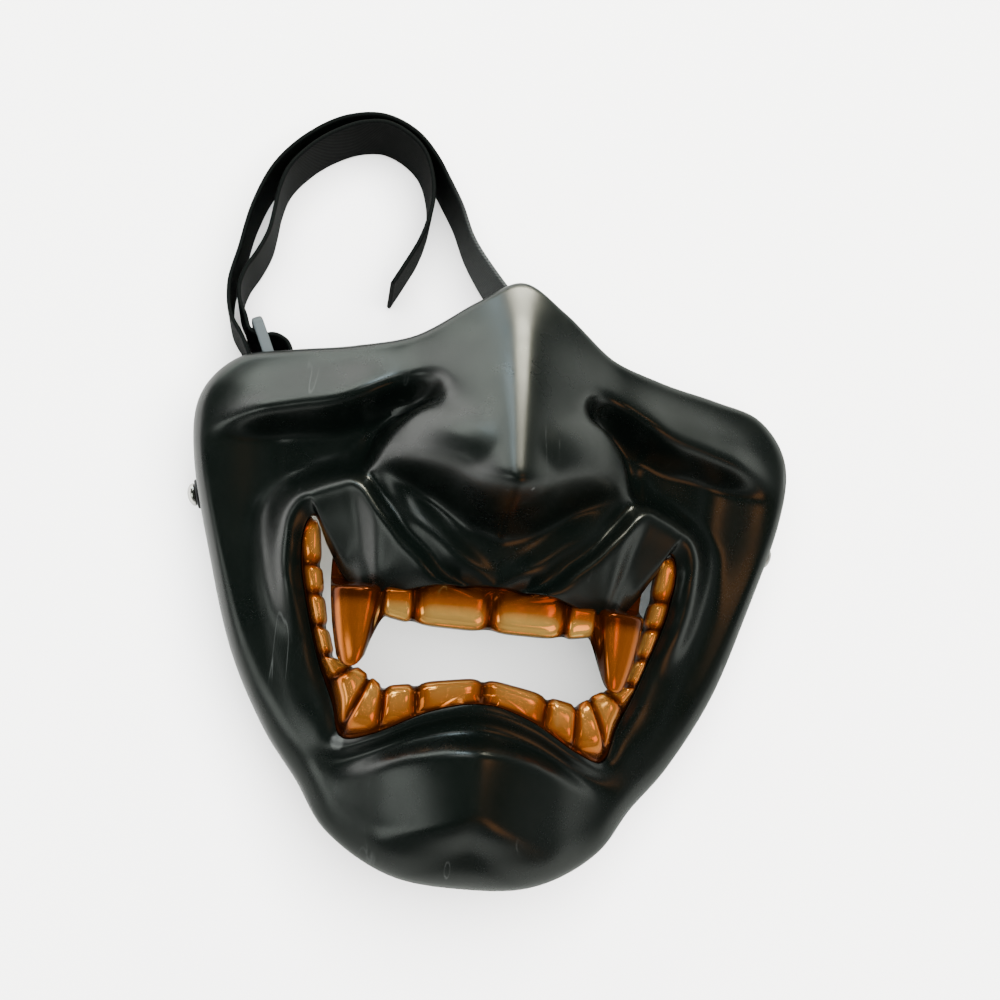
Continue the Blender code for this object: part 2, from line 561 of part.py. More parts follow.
# Strap behind the rivets: depth behind its first layer and slide along the wall.
RIGHT_END = ((0.0, -8.0), (0.0, -4.0), (0.0, 0.0), (0.0, 7.0))
LEFT_TURN = (
    (0.0, 8.0), (0.0, 3.0), (0.0, -3.0), (0.2, -8.0), (1.4, -12.0), (3.4, -11.6),
    (STRAP_LAYER + 1.2, -7.5), (STRAP_LAYER, -3.0), (STRAP_LAYER, 3.0), (STRAP_LAYER + 0.6, 8.0),
)


def strap_points():
    """Whole strap from the right rivet round the loop to the left one and back."""
    seat, outward = rivet_seat()
    along = np.array([-outward[1], outward[0]])
    lift = RIVET_HEIGHT - STRAP_WIDTH / 2
    near = STRAP_INSET + STRAP_THICK / 2

    def beside(depth, slide, side):
        """Point near a rivet: depth behind the first layer and slide along the wall."""
        x, y = seat[:2] - outward[:2] * (near + depth) + along * slide
        return (x * side, y, lift, 0.0)

    def drawn(points):
        """Points of a table, stretched with the mask, but not where they pass the slider."""
        table = np.array(points)
        beyond = table[:, :2] - SLIDER_MIDDLE
        loose = fade(10.0, 30.0, np.hypot(*beyond.T))[:, None]
        stretch = np.array([WIDE, LONG])
        table[:, :2] = SLIDER_MIDDLE * stretch + beyond * (1.0 + (stretch - 1.0) * loose)
        return [tuple(row) for row in table]

    table = np.array([beside(depth, slide, 1.0) for depth, slide in RIGHT_END] + drawn(LOOP_LINE)
                     + [beside(depth, slide, -1.0) for depth, slide in LEFT_TURN] + drawn(TAIL_LINE))
    knots = np.concatenate([[0.0], np.cumsum(np.hypot(*np.diff(table[:, :2], axis=0).T))])
    place = np.concatenate([np.linspace(knots[i], knots[i + 1], STRAP_STEPS + 1)[:-1]
                            for i in range(len(knots) - 1)] + [[knots[-1]]])
    x, y, rise, lean = [smooth_curve(knots, table[:, c], place) for c in range(4)]
    across = np.stack([np.gradient(y, place), -np.gradient(x, place)], 1)
    across /= np.linalg.norm(across, axis=1)[:, None]
    tilt = np.radians(lean)
    low = np.stack([x, y, rise], 1)
    high = low.copy()
    high[:, :2] += across * (STRAP_WIDTH * np.sin(tilt))[:, None]
    high[:, 2] += STRAP_WIDTH * np.cos(tilt)
    return np.stack([low, high], 1), place[-1]


def make_strap(material, collection, cutters):
    points, length = strap_points()
    mesh_data = grid_mesh("strap", points.shape[0] - 1, 1, points)
    obj = fresh_object("strap", mesh_data, material, collection)
    solid = obj.modifiers.new("webbing", "SOLIDIFY")
    solid.thickness = STRAP_THICK * MM
    solid.offset = 0.0
    cut_holes(obj, cutters)
    shade_smooth(obj)
    print("strap length", round(length, 1), "mm")


def box_object(name, centre, turn, size, collection, material=None):
    bm = bmesh.new()
    bmesh.ops.create_cube(bm, size=1.0)
    for vert in bm.verts:
        px, py, pz = vert.co.x * size[0], vert.co.y * size[1], vert.co.z * size[2]
        vert.co = Vector((centre[0] + px * turn[0] - py * turn[1],
                          centre[1] + px * turn[1] + py * turn[0], centre[2] + pz)) * MM
    mesh_data = bpy.data.meshes.new(name)
    bm.to_mesh(mesh_data)
    bm.free()
    obj = bpy.data.objects.new(name, mesh_data)
    obj.location = (0.0, ROW_SHIFT_Y * MM, 0.0)
    collection.objects.link(obj)
    if material:
        obj.data.materials.append(material)
    else:
        obj.hide_render = True
        obj.display_type = "WIRE"
    return obj


def make_floor_cutter(collection):
    """Block under the floor plane; what it takes off leaves a flat land to rest on."""
    side, deep = 3 * HALF_WIDTH, HALF_WIDTH / 4
    return box_object("floor_cutter", (0.0, 0.0, -deep / 2), (1.0, 0.0), (side, side, deep), collection)


def make_slider(material, collection, cutter_collection):
    """Three bar slider: an oblong block with two slots for the strap, edges rounded."""
    middle = np.array(SLIDER_MIDDLE) * np.array([WIDE, LONG])
    turn = np.array([np.cos(np.radians(SLIDER_TURN)), np.sin(np.radians(SLIDER_TURN))])
    slot_height = STRAP_WIDTH + SLOT_CLEAR
    height = slider_height()
    frame = box_object("strap_slider", (*middle, SLIDER_LOW + height / 2), turn,
                       (SLIDER_LENGTH, SLIDER_THICK, height), collection, material)
    slot = (SLIDER_LENGTH - 3 * SLIDER_BAR) / 2
    slot_z = SLIDER_LOW + SLIDER_FOOT + slot_height / 2
    for share in (-1, 1):
        centre = middle + turn * share * (SLIDER_BAR + slot) / 2
        cutter = box_object("slot_cutter", (*centre, slot_z), turn,
                            (slot, SLIDER_THICK * 2, slot_height), cutter_collection)
        cut_holes(frame, [cutter])
    bevel = frame.modifiers.new("round", "BEVEL")
    bevel.width = 0.7 * MM
    bevel.segments = 2
    bevel.limit_method = "ANGLE"
    shade_smooth(frame)


def make_rivets(metal, rubber, collection, cutter_collection):
    """Domed rivets with washers on both side walls; gives back the hole cutters."""
    seat, outward = rivet_seat()
    cutters = []
    for side, name, layers in ((1.0, "right", 1), (-1.0, "left", 2)):
        point = seat * np.array([side, 1.0, 1.0])
        axis = outward * np.array([side, 1.0, 1.0])
        washer_low = GAP
        washer_high = washer_low + WASHER_THICK
        washer = turned_mesh("rivet_washer_" + name, [
            (washer_low, SHANK_HOLE_RADIUS), (washer_low, WASHER_RADIUS - 0.3),
            (washer_low + 0.3, WASHER_RADIUS), (washer_high, WASHER_RADIUS - 0.2),
            (washer_high, SHANK_HOLE_RADIUS), (washer_low, SHANK_HOLE_RADIUS)], TURN_STEPS, point, axis)
        shade_smooth(fresh_object("rivet_washer_" + name, washer, rubber, collection))
        head_low = washer_high + 0.15
        back = -(STRAP_INSET + layers * STRAP_LAYER)
        brim = 0.4
        dome_profile = [(head_low + brim + (RIVET_HEAD_RISE - brim) * np.sin(angle),
                         RIVET_HEAD_RADIUS * np.cos(angle)) for angle in np.linspace(0.15, np.pi / 2, 4)[:-1]]
        profile = [(back - FLANGE_THICK, 0.0), (back - FLANGE_THICK, RIVET_HEAD_RADIUS + 0.4),
                   (back, RIVET_HEAD_RADIUS + 0.7), (back, SHANK_RADIUS), (head_low, SHANK_RADIUS),
                   (head_low, RIVET_HEAD_RADIUS)] + dome_profile + [(head_low + RIVET_HEAD_RISE, 0.0)]
        rivet = turned_mesh("rivet_" + name, profile, TURN_STEPS, point, axis)
        shade_smooth(fresh_object("rivet_" + name, rivet, metal, collection))
        hole = turned_mesh("hole_cutter_" + name, [(-14.0, 0.0), (-14.0, SHANK_HOLE_RADIUS),
                           (6.0, SHANK_HOLE_RADIUS), (6.0, 0.0)], TURN_STEPS, point, axis)
        cutter = bpy.data.objects.new("hole_cutter_" + name, hole)
        cutter.location = (0.0, ROW_SHIFT_Y * MM, 0.0)
        cutter.hide_render = True
        cutter.display_type = "WIRE"
        cutter_collection.objects.link(cutter)
        cutters.append(cutter)
    return cutters


def main():
    for old in list(bpy.data.objects):
        bpy.data.objects.remove(old, do_unlink=True)
    guard = bpy.data.collections.new("samurai_face_guard")
    cutter_collection = bpy.data.collections.new("cutters")
    bpy.context.scene.collection.children.link(guard)
    bpy.context.scene.collection.children.link(cutter_collection)
    black = plain_material("black_satin_plastic", (0.012, 0.014, 0.014), 0.0, 0.38)
    gold = plain_material("gold_chrome_plastic", (0.72, 0.36, 0.12), 1.0, 0.22)
    webbing = plain_material("black_webbing", (0.01, 0.01, 0.012), 0.0, 0.8)
    nickel = plain_material("nickel", (0.7, 0.69, 0.66), 1.0, 0.25)
    rubber = plain_material("black_rubber", (0.01, 0.01, 0.01), 0.0, 0.6)
    grey = plain_material("worn_grey_plastic", (0.25, 0.27, 0.28), 0.0, 0.5)
    cutters = make_rivets(nickel, rubber, guard, cutter_collection)
    floor_cutter = make_floor_cutter(cutter_collection)
    teeth_cutter = make_mask_shell(black, guard, cutter_collection, cutters + [floor_cutter])
    make_teeth("upper_teeth", upper_teeth_points(), gold, guard, teeth_cutter)
    make_teeth("lower_teeth", lower_teeth_points(), gold, guard, teeth_cutter)
    make_strap(webbing, guard, cutters)
    make_slider(grey, guard, cutter_collection)


main()
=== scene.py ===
"""Samurai face guard, dressed: the moulded half mask with its gold teeth, rivets and strap.

The shapes are worked out in millimetres, with X to the viewer's right, Y to the nose
bridge and Z out of the face, and are laid into the row's frame when a mesh is made.
"""

import bmesh
import bpy
import numpy as np
from mathutils import Matrix


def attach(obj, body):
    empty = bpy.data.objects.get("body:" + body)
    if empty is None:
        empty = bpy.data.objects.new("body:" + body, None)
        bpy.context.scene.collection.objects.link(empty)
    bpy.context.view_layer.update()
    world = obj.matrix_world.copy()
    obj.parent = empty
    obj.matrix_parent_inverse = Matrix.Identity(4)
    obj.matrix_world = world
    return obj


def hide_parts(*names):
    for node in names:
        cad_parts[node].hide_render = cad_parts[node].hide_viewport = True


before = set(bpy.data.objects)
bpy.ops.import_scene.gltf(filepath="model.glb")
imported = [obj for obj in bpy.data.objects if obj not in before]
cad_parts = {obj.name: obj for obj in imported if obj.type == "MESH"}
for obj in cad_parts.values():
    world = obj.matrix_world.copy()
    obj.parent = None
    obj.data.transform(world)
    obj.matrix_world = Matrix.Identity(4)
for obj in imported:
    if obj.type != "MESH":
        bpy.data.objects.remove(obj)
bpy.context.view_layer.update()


# The view: the camera stands over the mask where the photograph was taken from, a
# little below the chin and to the left, rolled with the hand that held it.
lens_axis_right = (0.98846, 0.09142, 0.12075)
lens_axis_up = (-0.11279, 0.97642, 0.18406)
lens_axis_back = (-0.10108, -0.19556, 0.97547)
camera_place = (-0.04272, -0.09079, 0.46532)
camera_data = bpy.data.cameras.new("photo_camera")
camera_data.lens = 55.55
camera_data.sensor_width = 36.0
camera_data.clip_start = 0.01
camera = bpy.data.objects.new("photo_camera", camera_data)
bpy.context.scene.collection.objects.link(camera)
camera.matrix_world = Matrix([
    (lens_axis_right[k], lens_axis_up[k], lens_axis_back[k], camera_place[k]) for k in range(3)
] + [(0.0, 0.0, 0.0, 1.0)])
bpy.context.scene.camera = camera


# The table: a pale sheet under everything, and a dim pale room round it. In glossy rays the sheet turns
# dark towards the chin side and the right, as painted shade in the reflections. It is part of the studio
# and not of the object.
table_reach = 3.0
table_colour = (0.93, 0.93, 0.92)
table_reflected_shade = (0.14, 0.15, 0.14)
card_reach = 3.2
card_height = 1.9


def paint(name, colour, metallic, roughness):
    """Material with its Principled shader, and the tree it hangs in."""
    material = bpy.data.materials.new(name)
    material.use_nodes = True
    shader = material.node_tree.nodes["Principled BSDF"]
    shader.inputs["Base Color"].default_value = (*colour, 1.0)
    shader.inputs["Metallic"].default_value = metallic
    shader.inputs["Roughness"].default_value = roughness
    return material, shader, material.node_tree


def node(tree, kind, links=(), **settings):
    """Node of that kind with its properties and socket values set and its inputs linked."""
    made = tree.nodes.new("ShaderNode" + kind)
    for label, value in settings.items():
        if hasattr(made, label):
            setattr(made, label, value)
        else:
            made.inputs[label.replace("_", " ")].default_value = value
    for socket, source in links:
        tree.links.new(source, made.inputs[socket])
    return made


def sum_up(tree, kind, first, second, clamp=False):
    """Maths node's output; each term is a number or another node's output."""
    made = node(tree, "Math", operation=kind, use_clamp=clamp)
    for slot, term in ((0, first), (1, second)):
        if isinstance(term, (int, float)):
            made.inputs[slot].default_value = term
        else:
            tree.links.new(term, made.inputs[slot])
    return made.outputs[0]


def blend(tree, factor, first, second):
    """Colour that runs from the first to the second as the factor runs from 0 to 1; each of
    the two is a colour or another node's output."""
    made = node(tree, "Mix", [("Factor", factor)], data_type="RGBA")
    for slot, colour in (("A", first), ("B", second)):
        if isinstance(colour, tuple):
            made.inputs[slot].default_value = (*colour, 1.0)
        else:
            tree.links.new(colour, made.inputs[slot])
    return made.outputs["Result"]


def flat_sheet(name, reach, height, faces_down, material):
    """Square sheet from minus to plus its reach both ways; x and y change places where it
    faces down."""
    corners = ((-reach, -reach), (reach, -reach), (reach, reach), (-reach, reach))
    mesh = bpy.data.meshes.new(name)
    mesh.from_pydata([(*(corner[::-1] if faces_down else corner), height) for corner in corners],
                     [], [(0, 1, 2, 3)])
    mesh.materials.append(material)
    sheet = bpy.data.objects.new(name, mesh)
    bpy.context.scene.collection.objects.link(sheet)
    return sheet


table_paint, table_shader, table_tree = paint("table_paint", table_colour, metallic=0.0, roughness=0.9)
table_shader.inputs["Specular IOR Level"].default_value = 0.0
# Painted shade in the reflections: in glossy rays the table runs from its pale colour to dark grey towards
# the chin side and the right.
on_table = node(table_tree, "SeparateXYZ", [("Vector", node(table_tree, "TexCoord").outputs["Object"])])
near_chin = node(table_tree, "MapRange", [("Value", on_table.outputs["Y"])], From_Min=0.02, From_Max=-0.12)
near_right = node(table_tree, "MapRange", [("Value", on_table.outputs["X"])],
                  From_Min=-0.35, From_Max=0.06, To_Min=0.45)
reflected_shade_side = sum_up(table_tree, "MAXIMUM", near_chin.outputs["Result"], near_right.outputs["Result"])
reflected_shade_share = sum_up(table_tree, "MULTIPLY", reflected_shade_side, node(table_tree, "LightPath").outputs["Is Glossy Ray"])
table_tree.links.new(blend(table_tree, reflected_shade_share, table_colour, table_reflected_shade),
                     table_shader.inputs["Base Color"])
table = flat_sheet("table", table_reach, 0.0, False, table_paint)
card_paint, card_shader, _ = paint("card_paint", (0.022, 0.024, 0.023), metallic=0.0, roughness=1.0)
card_shader.inputs["Specular IOR Level"].default_value = 0.0
ceiling_card = flat_sheet("ceiling_card", card_reach, card_height, True, card_paint)
room = bpy.data.worlds.new("room")
bpy.context.scene.world = room
room.use_nodes = True
room_light = room.node_tree.nodes["Background"].inputs
room_light["Color"].default_value = (0.80, 0.84, 0.82, 1.0)
room_light["Strength"].default_value = 0.20


# The studio lights: a window beyond the bridge that draws the streak down the nose, soft
# lamps at the left, two copper ones at the right and a wide fill for the table.
lamp_aim = (0.0, 0.0, 0.06)


def hang_lamp(name, place, aim, width, height, watts, colour, shows):
    """Area lamp of that width and height at place, turned so that it faces aim."""
    lamp_data = bpy.data.lights.new(name, "AREA")
    lamp_data.shape = "RECTANGLE"
    lamp_data.size, lamp_data.size_y = width, height
    lamp_data.energy = watts
    lamp_data.color = colour
    lamp = bpy.data.objects.new(name, lamp_data)
    lamp.visible_glossy = shows
    away = np.array(place) - np.array(aim)
    away /= np.linalg.norm(away)
    side = np.cross((0.0, 0.0, 1.0), away)
    side /= np.linalg.norm(side)
    over = np.cross(away, side)
    lamp.matrix_world = Matrix([(side[k], over[k], away[k], place[k]) for k in range(3)]
                               + [(0.0, 0.0, 0.0, 1.0)])
    bpy.context.scene.collection.objects.link(lamp)


for name, place, width, height, watts, colour in (
        ("window_lamp", (0.07, 0.97, 0.29), 0.42, 0.20, 13.0, (1.0, 0.98, 0.78)),
        ("sky_lamp", (-0.37, 0.86, 0.41), 0.20, 0.14, 1.8, (0.72, 0.93, 1.0)),
        ("left_lamp", (-0.64, 0.77, 0.21), 0.55, 0.28, 2.2, (0.90, 1.0, 0.90)),
        ("side_lamp", (-0.90, -0.35, 0.45), 0.42, 0.42, 1.5, (0.92, 1.0, 0.92)),
        ("high_left_lamp", (-0.48, 0.72, 0.80), 0.42, 0.26, 1.5, (0.94, 1.0, 0.95)),
        ("warm_lamp", (0.50, -0.62, 0.60), 0.46, 0.46, 1.3, (1.0, 0.42, 0.15)),
        ("copper_lamp", (0.42, 0.18, 0.92), 0.32, 0.32, 0.7, (1.0, 0.42, 0.14))):
    hang_lamp(name, place, lamp_aim, width, height, watts, colour, True)
hang_lamp("fill_lamp", (0.1, 0.1, 1.5), (0.0, 0.0, 0.0), 1.6, 1.6, 190.0, (1.0, 1.0, 1.0), False)


# The mask shell: one moulded piece of black satin plastic, 3 mm thick, with the nose,
# cheeks, swept lips and chin pressed into it, open at the back and at the mouth. It
# rests on its back rim.
half_width = 87.0
chin_reach = 94.3
top_reach = 70.0
nose_tip_y = 8.0
nose_rise = 30.0
wing_x = 25.0
wing_y = 19.5
wing_rise = 6.5
wing_groove = 2.6
nostril_depth = 3.5
lobe_edge = 6.6
lobe_floor = 0.6
lobe_reach = 9.5
lip_groove = 1.8
inner_fold = 3.0
hollow_depth = 11.0
hollow_roll = 6.4
flank_step = 2.6
chin_rise = 3.2
chin_edge = 1.5
mouth_bead = 1.0
mouth_dip = 2.3
mouth_roll = 2.6
wall = 3.0
row_shift = np.array([0.0, -18.5, 0.0])
station_columns = ("mouth_x", "mouth_y", "edge_x", "edge_y", "rim_z", "tuck", "round")
stations = (
    (0.000, -0.159, 0.000, 0.742, 0.703, 0.003, 0.023),
    (0.161, -0.170, 0.138, 0.666, 0.709, 0.003, 0.023),
    (0.322, -0.193, 0.310, 0.571, 0.632, 0.004, 0.029),
    (0.437, -0.170, 0.506, 0.543, 0.483, 0.006, 0.034),
    (0.517, -0.069, 0.713, 0.533, 0.376, 0.006, 0.038),
    (0.569, 0.016, 0.885, 0.504, 0.338, 0.008, 0.046),
    (0.601, -0.027, 0.995, 0.382, 0.180, 0.012, 0.070),
    (0.597, -0.127, 0.989, 0.191, -0.020, 0.014, 0.080),
    (0.559, -0.260, 0.902, -0.090, -0.020, 0.014, 0.080),
    (0.511, -0.392, 0.793, -0.376, -0.020, 0.018, 0.080),
    (0.454, -0.509, 0.661, -0.594, -0.020, 0.028, 0.080),
    (0.414, -0.607, 0.540, -0.735, -0.020, 0.046, 0.086),
    (0.310, -0.590, 0.425, -0.875, -0.020, 0.069, 0.092),
    (0.155, -0.520, 0.224, -0.978, -0.020, 0.103, 0.098),
    (0.000, -0.488, 0.000, -1.000, -0.020, 0.115, 0.098),
)
spine_columns = ("y", "middle_z", "edge_z", "half_width")
spine = (
    (-94.3, 50.0, 50.0, 39.2),
    (-89.6, 52.8, 47.0, 39.2),
    (-80.2, 57.0, 42.0, 39.3),
    (-70.0, 59.0, 37.5, 46.5),
    (-57.0, 60.0, 35.0, 57.4),
    (-46.0, 59.5, 34.0, 63.7),
    (-30.0, 60.6, 33.5, 71.5),
    (-15.0, 63.5, 33.0, 76.6),
    (0.0, 66.0, 33.0, 81.2),
    (20.0, 66.5, 33.5, 86.3),
    (40.0, 66.0, 33.8, 87.0),
    (58.0, 65.0, 34.0, 87.0),
    (75.4, 63.5, 34.0, 87.0),
)


def fade(start, end, value):
    """Zero to one from start to end, as 3s^2 - 2s^3 of the share s."""
    share = np.clip((value - start) / (end - start), 0.0, 1.0)
    return share * share * (3.0 - 2.0 * share)


def hump(offset, width):
    """Round bump of height one: e to the minus square of offset over width."""
    return np.exp(-(offset / width) ** 2)


def smooth_curve(knots, values, place):
    """Cubic through the knots, with each slope taken from the two neighbours."""
    knots = np.asarray(knots, float)
    values = np.asarray(values, float)
    place = np.clip(place, knots[0], knots[-1])
    slope = np.gradient(values, knots)
    k = np.clip(np.searchsorted(knots, place, side="right") - 1, 0, len(knots) - 2)
    step = knots[k + 1] - knots[k]
    u = (place - knots[k]) / step
    return ((1 + 2 * u) * (1 - u) ** 2 * values[k] + u * (1 - u) ** 2 * step * slope[k]
            + u * u * (3 - 2 * u) * values[k + 1] + u * u * (u - 1) * step * slope[k + 1])


def station_values(place):
    """Every station column at a place along the stations, scaled to millimetres."""
    table_rows = np.array(stations)
    scale = np.array([chin_reach if name.endswith("_y") else half_width for name in station_columns])
    turn = np.array([-1 if name.endswith("_x") else 1 for name in station_columns])
    rows = np.vstack([table_rows[1] * turn, table_rows, table_rows[-2] * turn]) * scale
    knots = np.arange(-1, len(table_rows) + 1)
    return [smooth_curve(knots, rows[:, c], place) for c in range(rows.shape[1])]


def dome(x, y):
    """Plain cheek to cheek dome of the mask, no features."""
    column = dict(zip(spine_columns, np.array(spine).T))
    middle, edge, half = [smooth_curve(column["y"], column[name], y)
                          for name in ("middle_z", "edge_z", "half_width")]
    across = np.clip(x / half, 0.0, 1.0)
    squeeze = 1.5 + 0.6 * fade(37.0, 52.0, y)
    return edge + (middle - edge) * (1.0 - across ** 1.7) ** squeeze


def nostril_line(x):
    """Y of the nose's lower outline, which rises from the middle to the wings."""
    return smooth_curve((0.0, 8.0, 16.0, 23.0, 30.0, 40.0), (-2.5, 1.0, 6.5, 10.5, 13.5, 16.0), x)


def nose_ridge(x, y):
    """Share of the nose's rise: a straight rounded ridge with flat sides, cut off under the tip."""
    climb = np.clip((top_reach - y) / (top_reach - nose_tip_y), 0.0, 1.04)
    foot = smooth_curve((8.0, 20.0, 40.0, 60.0, 72.0), (23.0, 25.0, 26.0, 20.0, 16.0), y)
    rounding = 6.0
    side = 1.0 - (np.sqrt(x * x + rounding ** 2) - rounding) / foot
    side = (side + np.sqrt(side * side + 0.012)) / 2.0
    low = nostril_line(x)
    return climb * side * fade(low - 1.5, low + 10.5 - 0.2 * x, y)


def nose_wing(x, y):
    """Wing: (1 - a)^1.3 of the squared share a of its reach, less a groove where sqrt(a) is
    just over one and a nostril hump."""
    reach_x = np.where(x < wing_x, 20.0, 11.5)
    reach_y = np.where(y < wing_y, 11.5, 13.5)
    away = ((x - wing_x) / reach_x) ** 2 + ((y - wing_y) / reach_y) ** 2
    wing = wing_rise * np.clip(1.0 - away, 0.0, 1.0) ** 1.3
    wing = wing * fade(nostril_line(x) - 2.0, nostril_line(x) + 5.5, y)
    groove = wing_groove * hump(np.sqrt(away) - 1.10, 0.18) * fade(13.0, 24.0, y) * fade(15.0, 23.0, x)
    nostril = nostril_depth * hump(x - 19.0, 7.0) * hump(y - nostril_line(x) + 1.0, 3.0)
    return wing - groove - nostril


border_middle = np.array([30.0, -25.0])
border_points = np.array([
    (38.3, -60.9), (43.0, -53.5), (48.6, -41.0), (53.0, -31.0), (57.5, -19.0), (59.5, -12.0),
    (60.2, -4.0), (59.6, 2.0), (56.6, 6.4), (51.3, 9.0), (45.0, 11.2), (40.0, 11.8), (37.0, 9.6),
    (33.6, 5.4), (29.0, 0.2), (20.0, -8.6), (13.0, -14.6), (6.0, -17.6),
])


def inside_border(x, y):
    """Depth inside the border of the lips: (R - r) / sqrt(1 + (R' / R)^2), with the border's
    reach R at each angle round a middle point and r the point's own reach."""
    knots = np.unwrap(np.arctan2(*(border_points - border_middle).T[::-1]))
    reaches = np.hypot(*(border_points - border_middle).T)
    angle = np.arctan2(y - border_middle[1], x - border_middle[0])
    angle = np.where(angle < -2.2, angle + 2 * np.pi, angle)
    step = 0.01
    reach = smooth_curve(knots, reaches, angle)
    after, before = [smooth_curve(knots, reaches, angle + turn) for turn in (step, -step)]
    slope = (after - before) / (2 * step)
    own = np.hypot(x - border_middle[0], y - border_middle[1])
    return (reach - own) / np.sqrt(1.0 + (slope / reach) ** 2)


def upper_lip(x, y):
    """Lip lobe: a step up at its border, then a fall to the mouth as e^(-(depth / reach)^1.3),
    less the groove along the border, plus the inner fold between it and a line of its own."""
    depth = inside_border(x, y)
    behind = np.clip(depth, 0.0, 40.0)
    soft = 1.8 + 2.4 * fade(33.0, 46.0, x)
    lobe = fade(-soft, soft, depth) * (lobe_floor + lobe_edge * np.exp(-(behind / lobe_reach) ** 1.3))
    lobe = lobe * fade(-34.0, -16.0, y) * fade(68.0, 54.0, x)
    over_corner = fade(-26.0, -18.0, y)
    groove = lip_groove * hump(depth + 2.8, 2.1) * fade(42.0, 34.0, x) * over_corner
    second = smooth_curve((0.0, 3.5, 8.5, 18.0, 29.0, 36.0), (-15.5, -12.8, -8.9, -2.6, 2.6, 6.0), x)
    fold = inner_fold * fade(second + 5.0, second - 1.5, y) * fade(-0.5, -3.5, depth) * fade(36.0, 27.0, x)
    return lobe - groove + fold * over_corner


def cheek_hollow(x, y):
    """Sunk cheek: a depth times fades in from its border, the nose wing and the lips, and over
    it a roll that falls upwards as e^(-(height over the roll's line / 8.5)^1.6)."""
    roll = smooth_curve((12.0, 18.5, 21.0, 25.0, 30.0, 38.0, 46.0, 57.0, 68.0, 84.0),
                        (24.0, 32.0, 37.5, 39.5, 38.3, 34.8, 32.2, 31.0, 29.6, 27.0), x)
    wing_side = smooth_curve((12.0, 20.0, 24.0, 28.0, 33.0, 36.0, 40.0, 45.0),
                             (34.0, 33.0, 31.5, 28.5, 24.0, 17.5, 2.0, -90.0), x)
    border = smooth_curve((-60.0, -45.0, -27.0, -11.0, 5.0, 20.0, 30.0, 50.0),
                          (52.0, 59.0, 66.5, 70.5, 73.5, 75.0, 76.0, 76.0), y)
    flatter = fade(28.0, 50.0, x)
    inside = fade(wing_side - 1.0, wing_side + 3.0, y) * fade(2.5, -9.0, inside_border(x, y))
    inside = inside * fade(roll + 1.5, roll - 5.0 - 2.0 * flatter, y)
    inside = inside * fade(border + 6.0, border - 14.0, x) * fade(15.0, 20.0, x) * fade(-52.0, -20.0, y)
    depth = (hollow_depth - 3.5 * fade(40.0, 62.0, x)) * (0.40 + 0.60 * fade(-24.0, 12.0, y))
    above = np.clip(y - roll + 1.0, 0.0, 30.0)
    raised = hollow_roll * fade(roll - 6.0, roll - 0.5, y) * np.exp(-(above / 8.5) ** 1.6)
    raised = raised * fade(24.0, 44.0, x) * fade(86.0, 66.0, x)
    return raised - depth * inside


def cheek_flank(x, y):
    """Step down inside the border beside the mouth: its depth times its fades."""
    step = fade(-5.0, 6.0, inside_border(x, y)) * fade(34.0, 40.0, x)
    return flank_step * step * fade(0.0, -14.0, y) * fade(-58.0, -40.0, y)


def chin(x, y):
    """Chin boss: a rise times a roof over x, cut by its top line and by the fold under it."""
    top = -54.7 - 0.0085 * x * x
    fold = smooth_curve((0.0, 5.0, 12.0, 18.0, 24.0, 31.0, 40.0),
                        (-80.6, -82.8, -85.2, -86.6, -86.2, -82.5, -78.0), x)
    keep = fade(top + 1.8, top - 5.0, y) * fade(fold - 5.5, fold + 7.0, y) * fade(42.0, 22.0, x)
    rounding = 2.4
    crest = np.clip(1.0 - (np.sqrt(x * x + rounding ** 2) - rounding) / 34.0, 0.0, 1.0)
    rise = chin_rise + 3.0 * np.clip((-55.0 - y) / 25.0, 0.0, 1.0)
    return keep * (rise * crest + chin_edge)


def face_height(x, y):
    """Height of the outer skin over the plan of the face."""
    plain = dome(x, y) + nose_wing(x, y) + upper_lip(x, y) + cheek_hollow(x, y) + chin(x, y)
    return plain - cheek_flank(x, y) + nose_rise * nose_ridge(x, y)


def shell_points(station, across):
    """Skin points: straight lines in plan from the mouth (across 0) to the edge (1), then down
    a tucked wall to the rim (2), with a quarter round of the station's radius at the edge."""
    mouth_x, mouth_y, edge_x, edge_y, rim_z, tuck, rounding = station_values(station)
    flat = np.clip(across, 0.0, 1.0)
    share = flat ** 1.15
    x = mouth_x + (edge_x - mouth_x) * share
    y = mouth_y + (edge_y - mouth_y) * share
    length = np.hypot(edge_x - mouth_x, edge_y - mouth_y)
    from_mouth = length * share
    from_edge = length * (1.0 - share)
    z = face_height(np.abs(x), y)
    low = fade(10.6, 12.0, station)
    z = z + low * (mouth_bead * hump(from_mouth - 2.0, 1.9) - mouth_dip * hump(from_mouth - 6.4, 3.8))
    z = z - (1.0 - low) * mouth_roll * np.exp(-(from_mouth / 2.6) ** 1.4)
    inward = 1.0 - np.clip(from_edge / rounding, 0.0, 1.0)
    z = z - rounding * (1.0 - np.sqrt(1.0 - inward ** 2))
    down = np.clip(across - 1.0, 0.0, 1.0)
    slide = tuck * np.minimum(down / 0.8, 1.0) ** 1.5
    x = x - (edge_x - mouth_x) / length * slide
    y = y - (edge_y - mouth_y) / length * slide
    z = z + (np.minimum(rim_z, z - 1.4) - z) * down
    return x, y, np.maximum(z, 0.0)


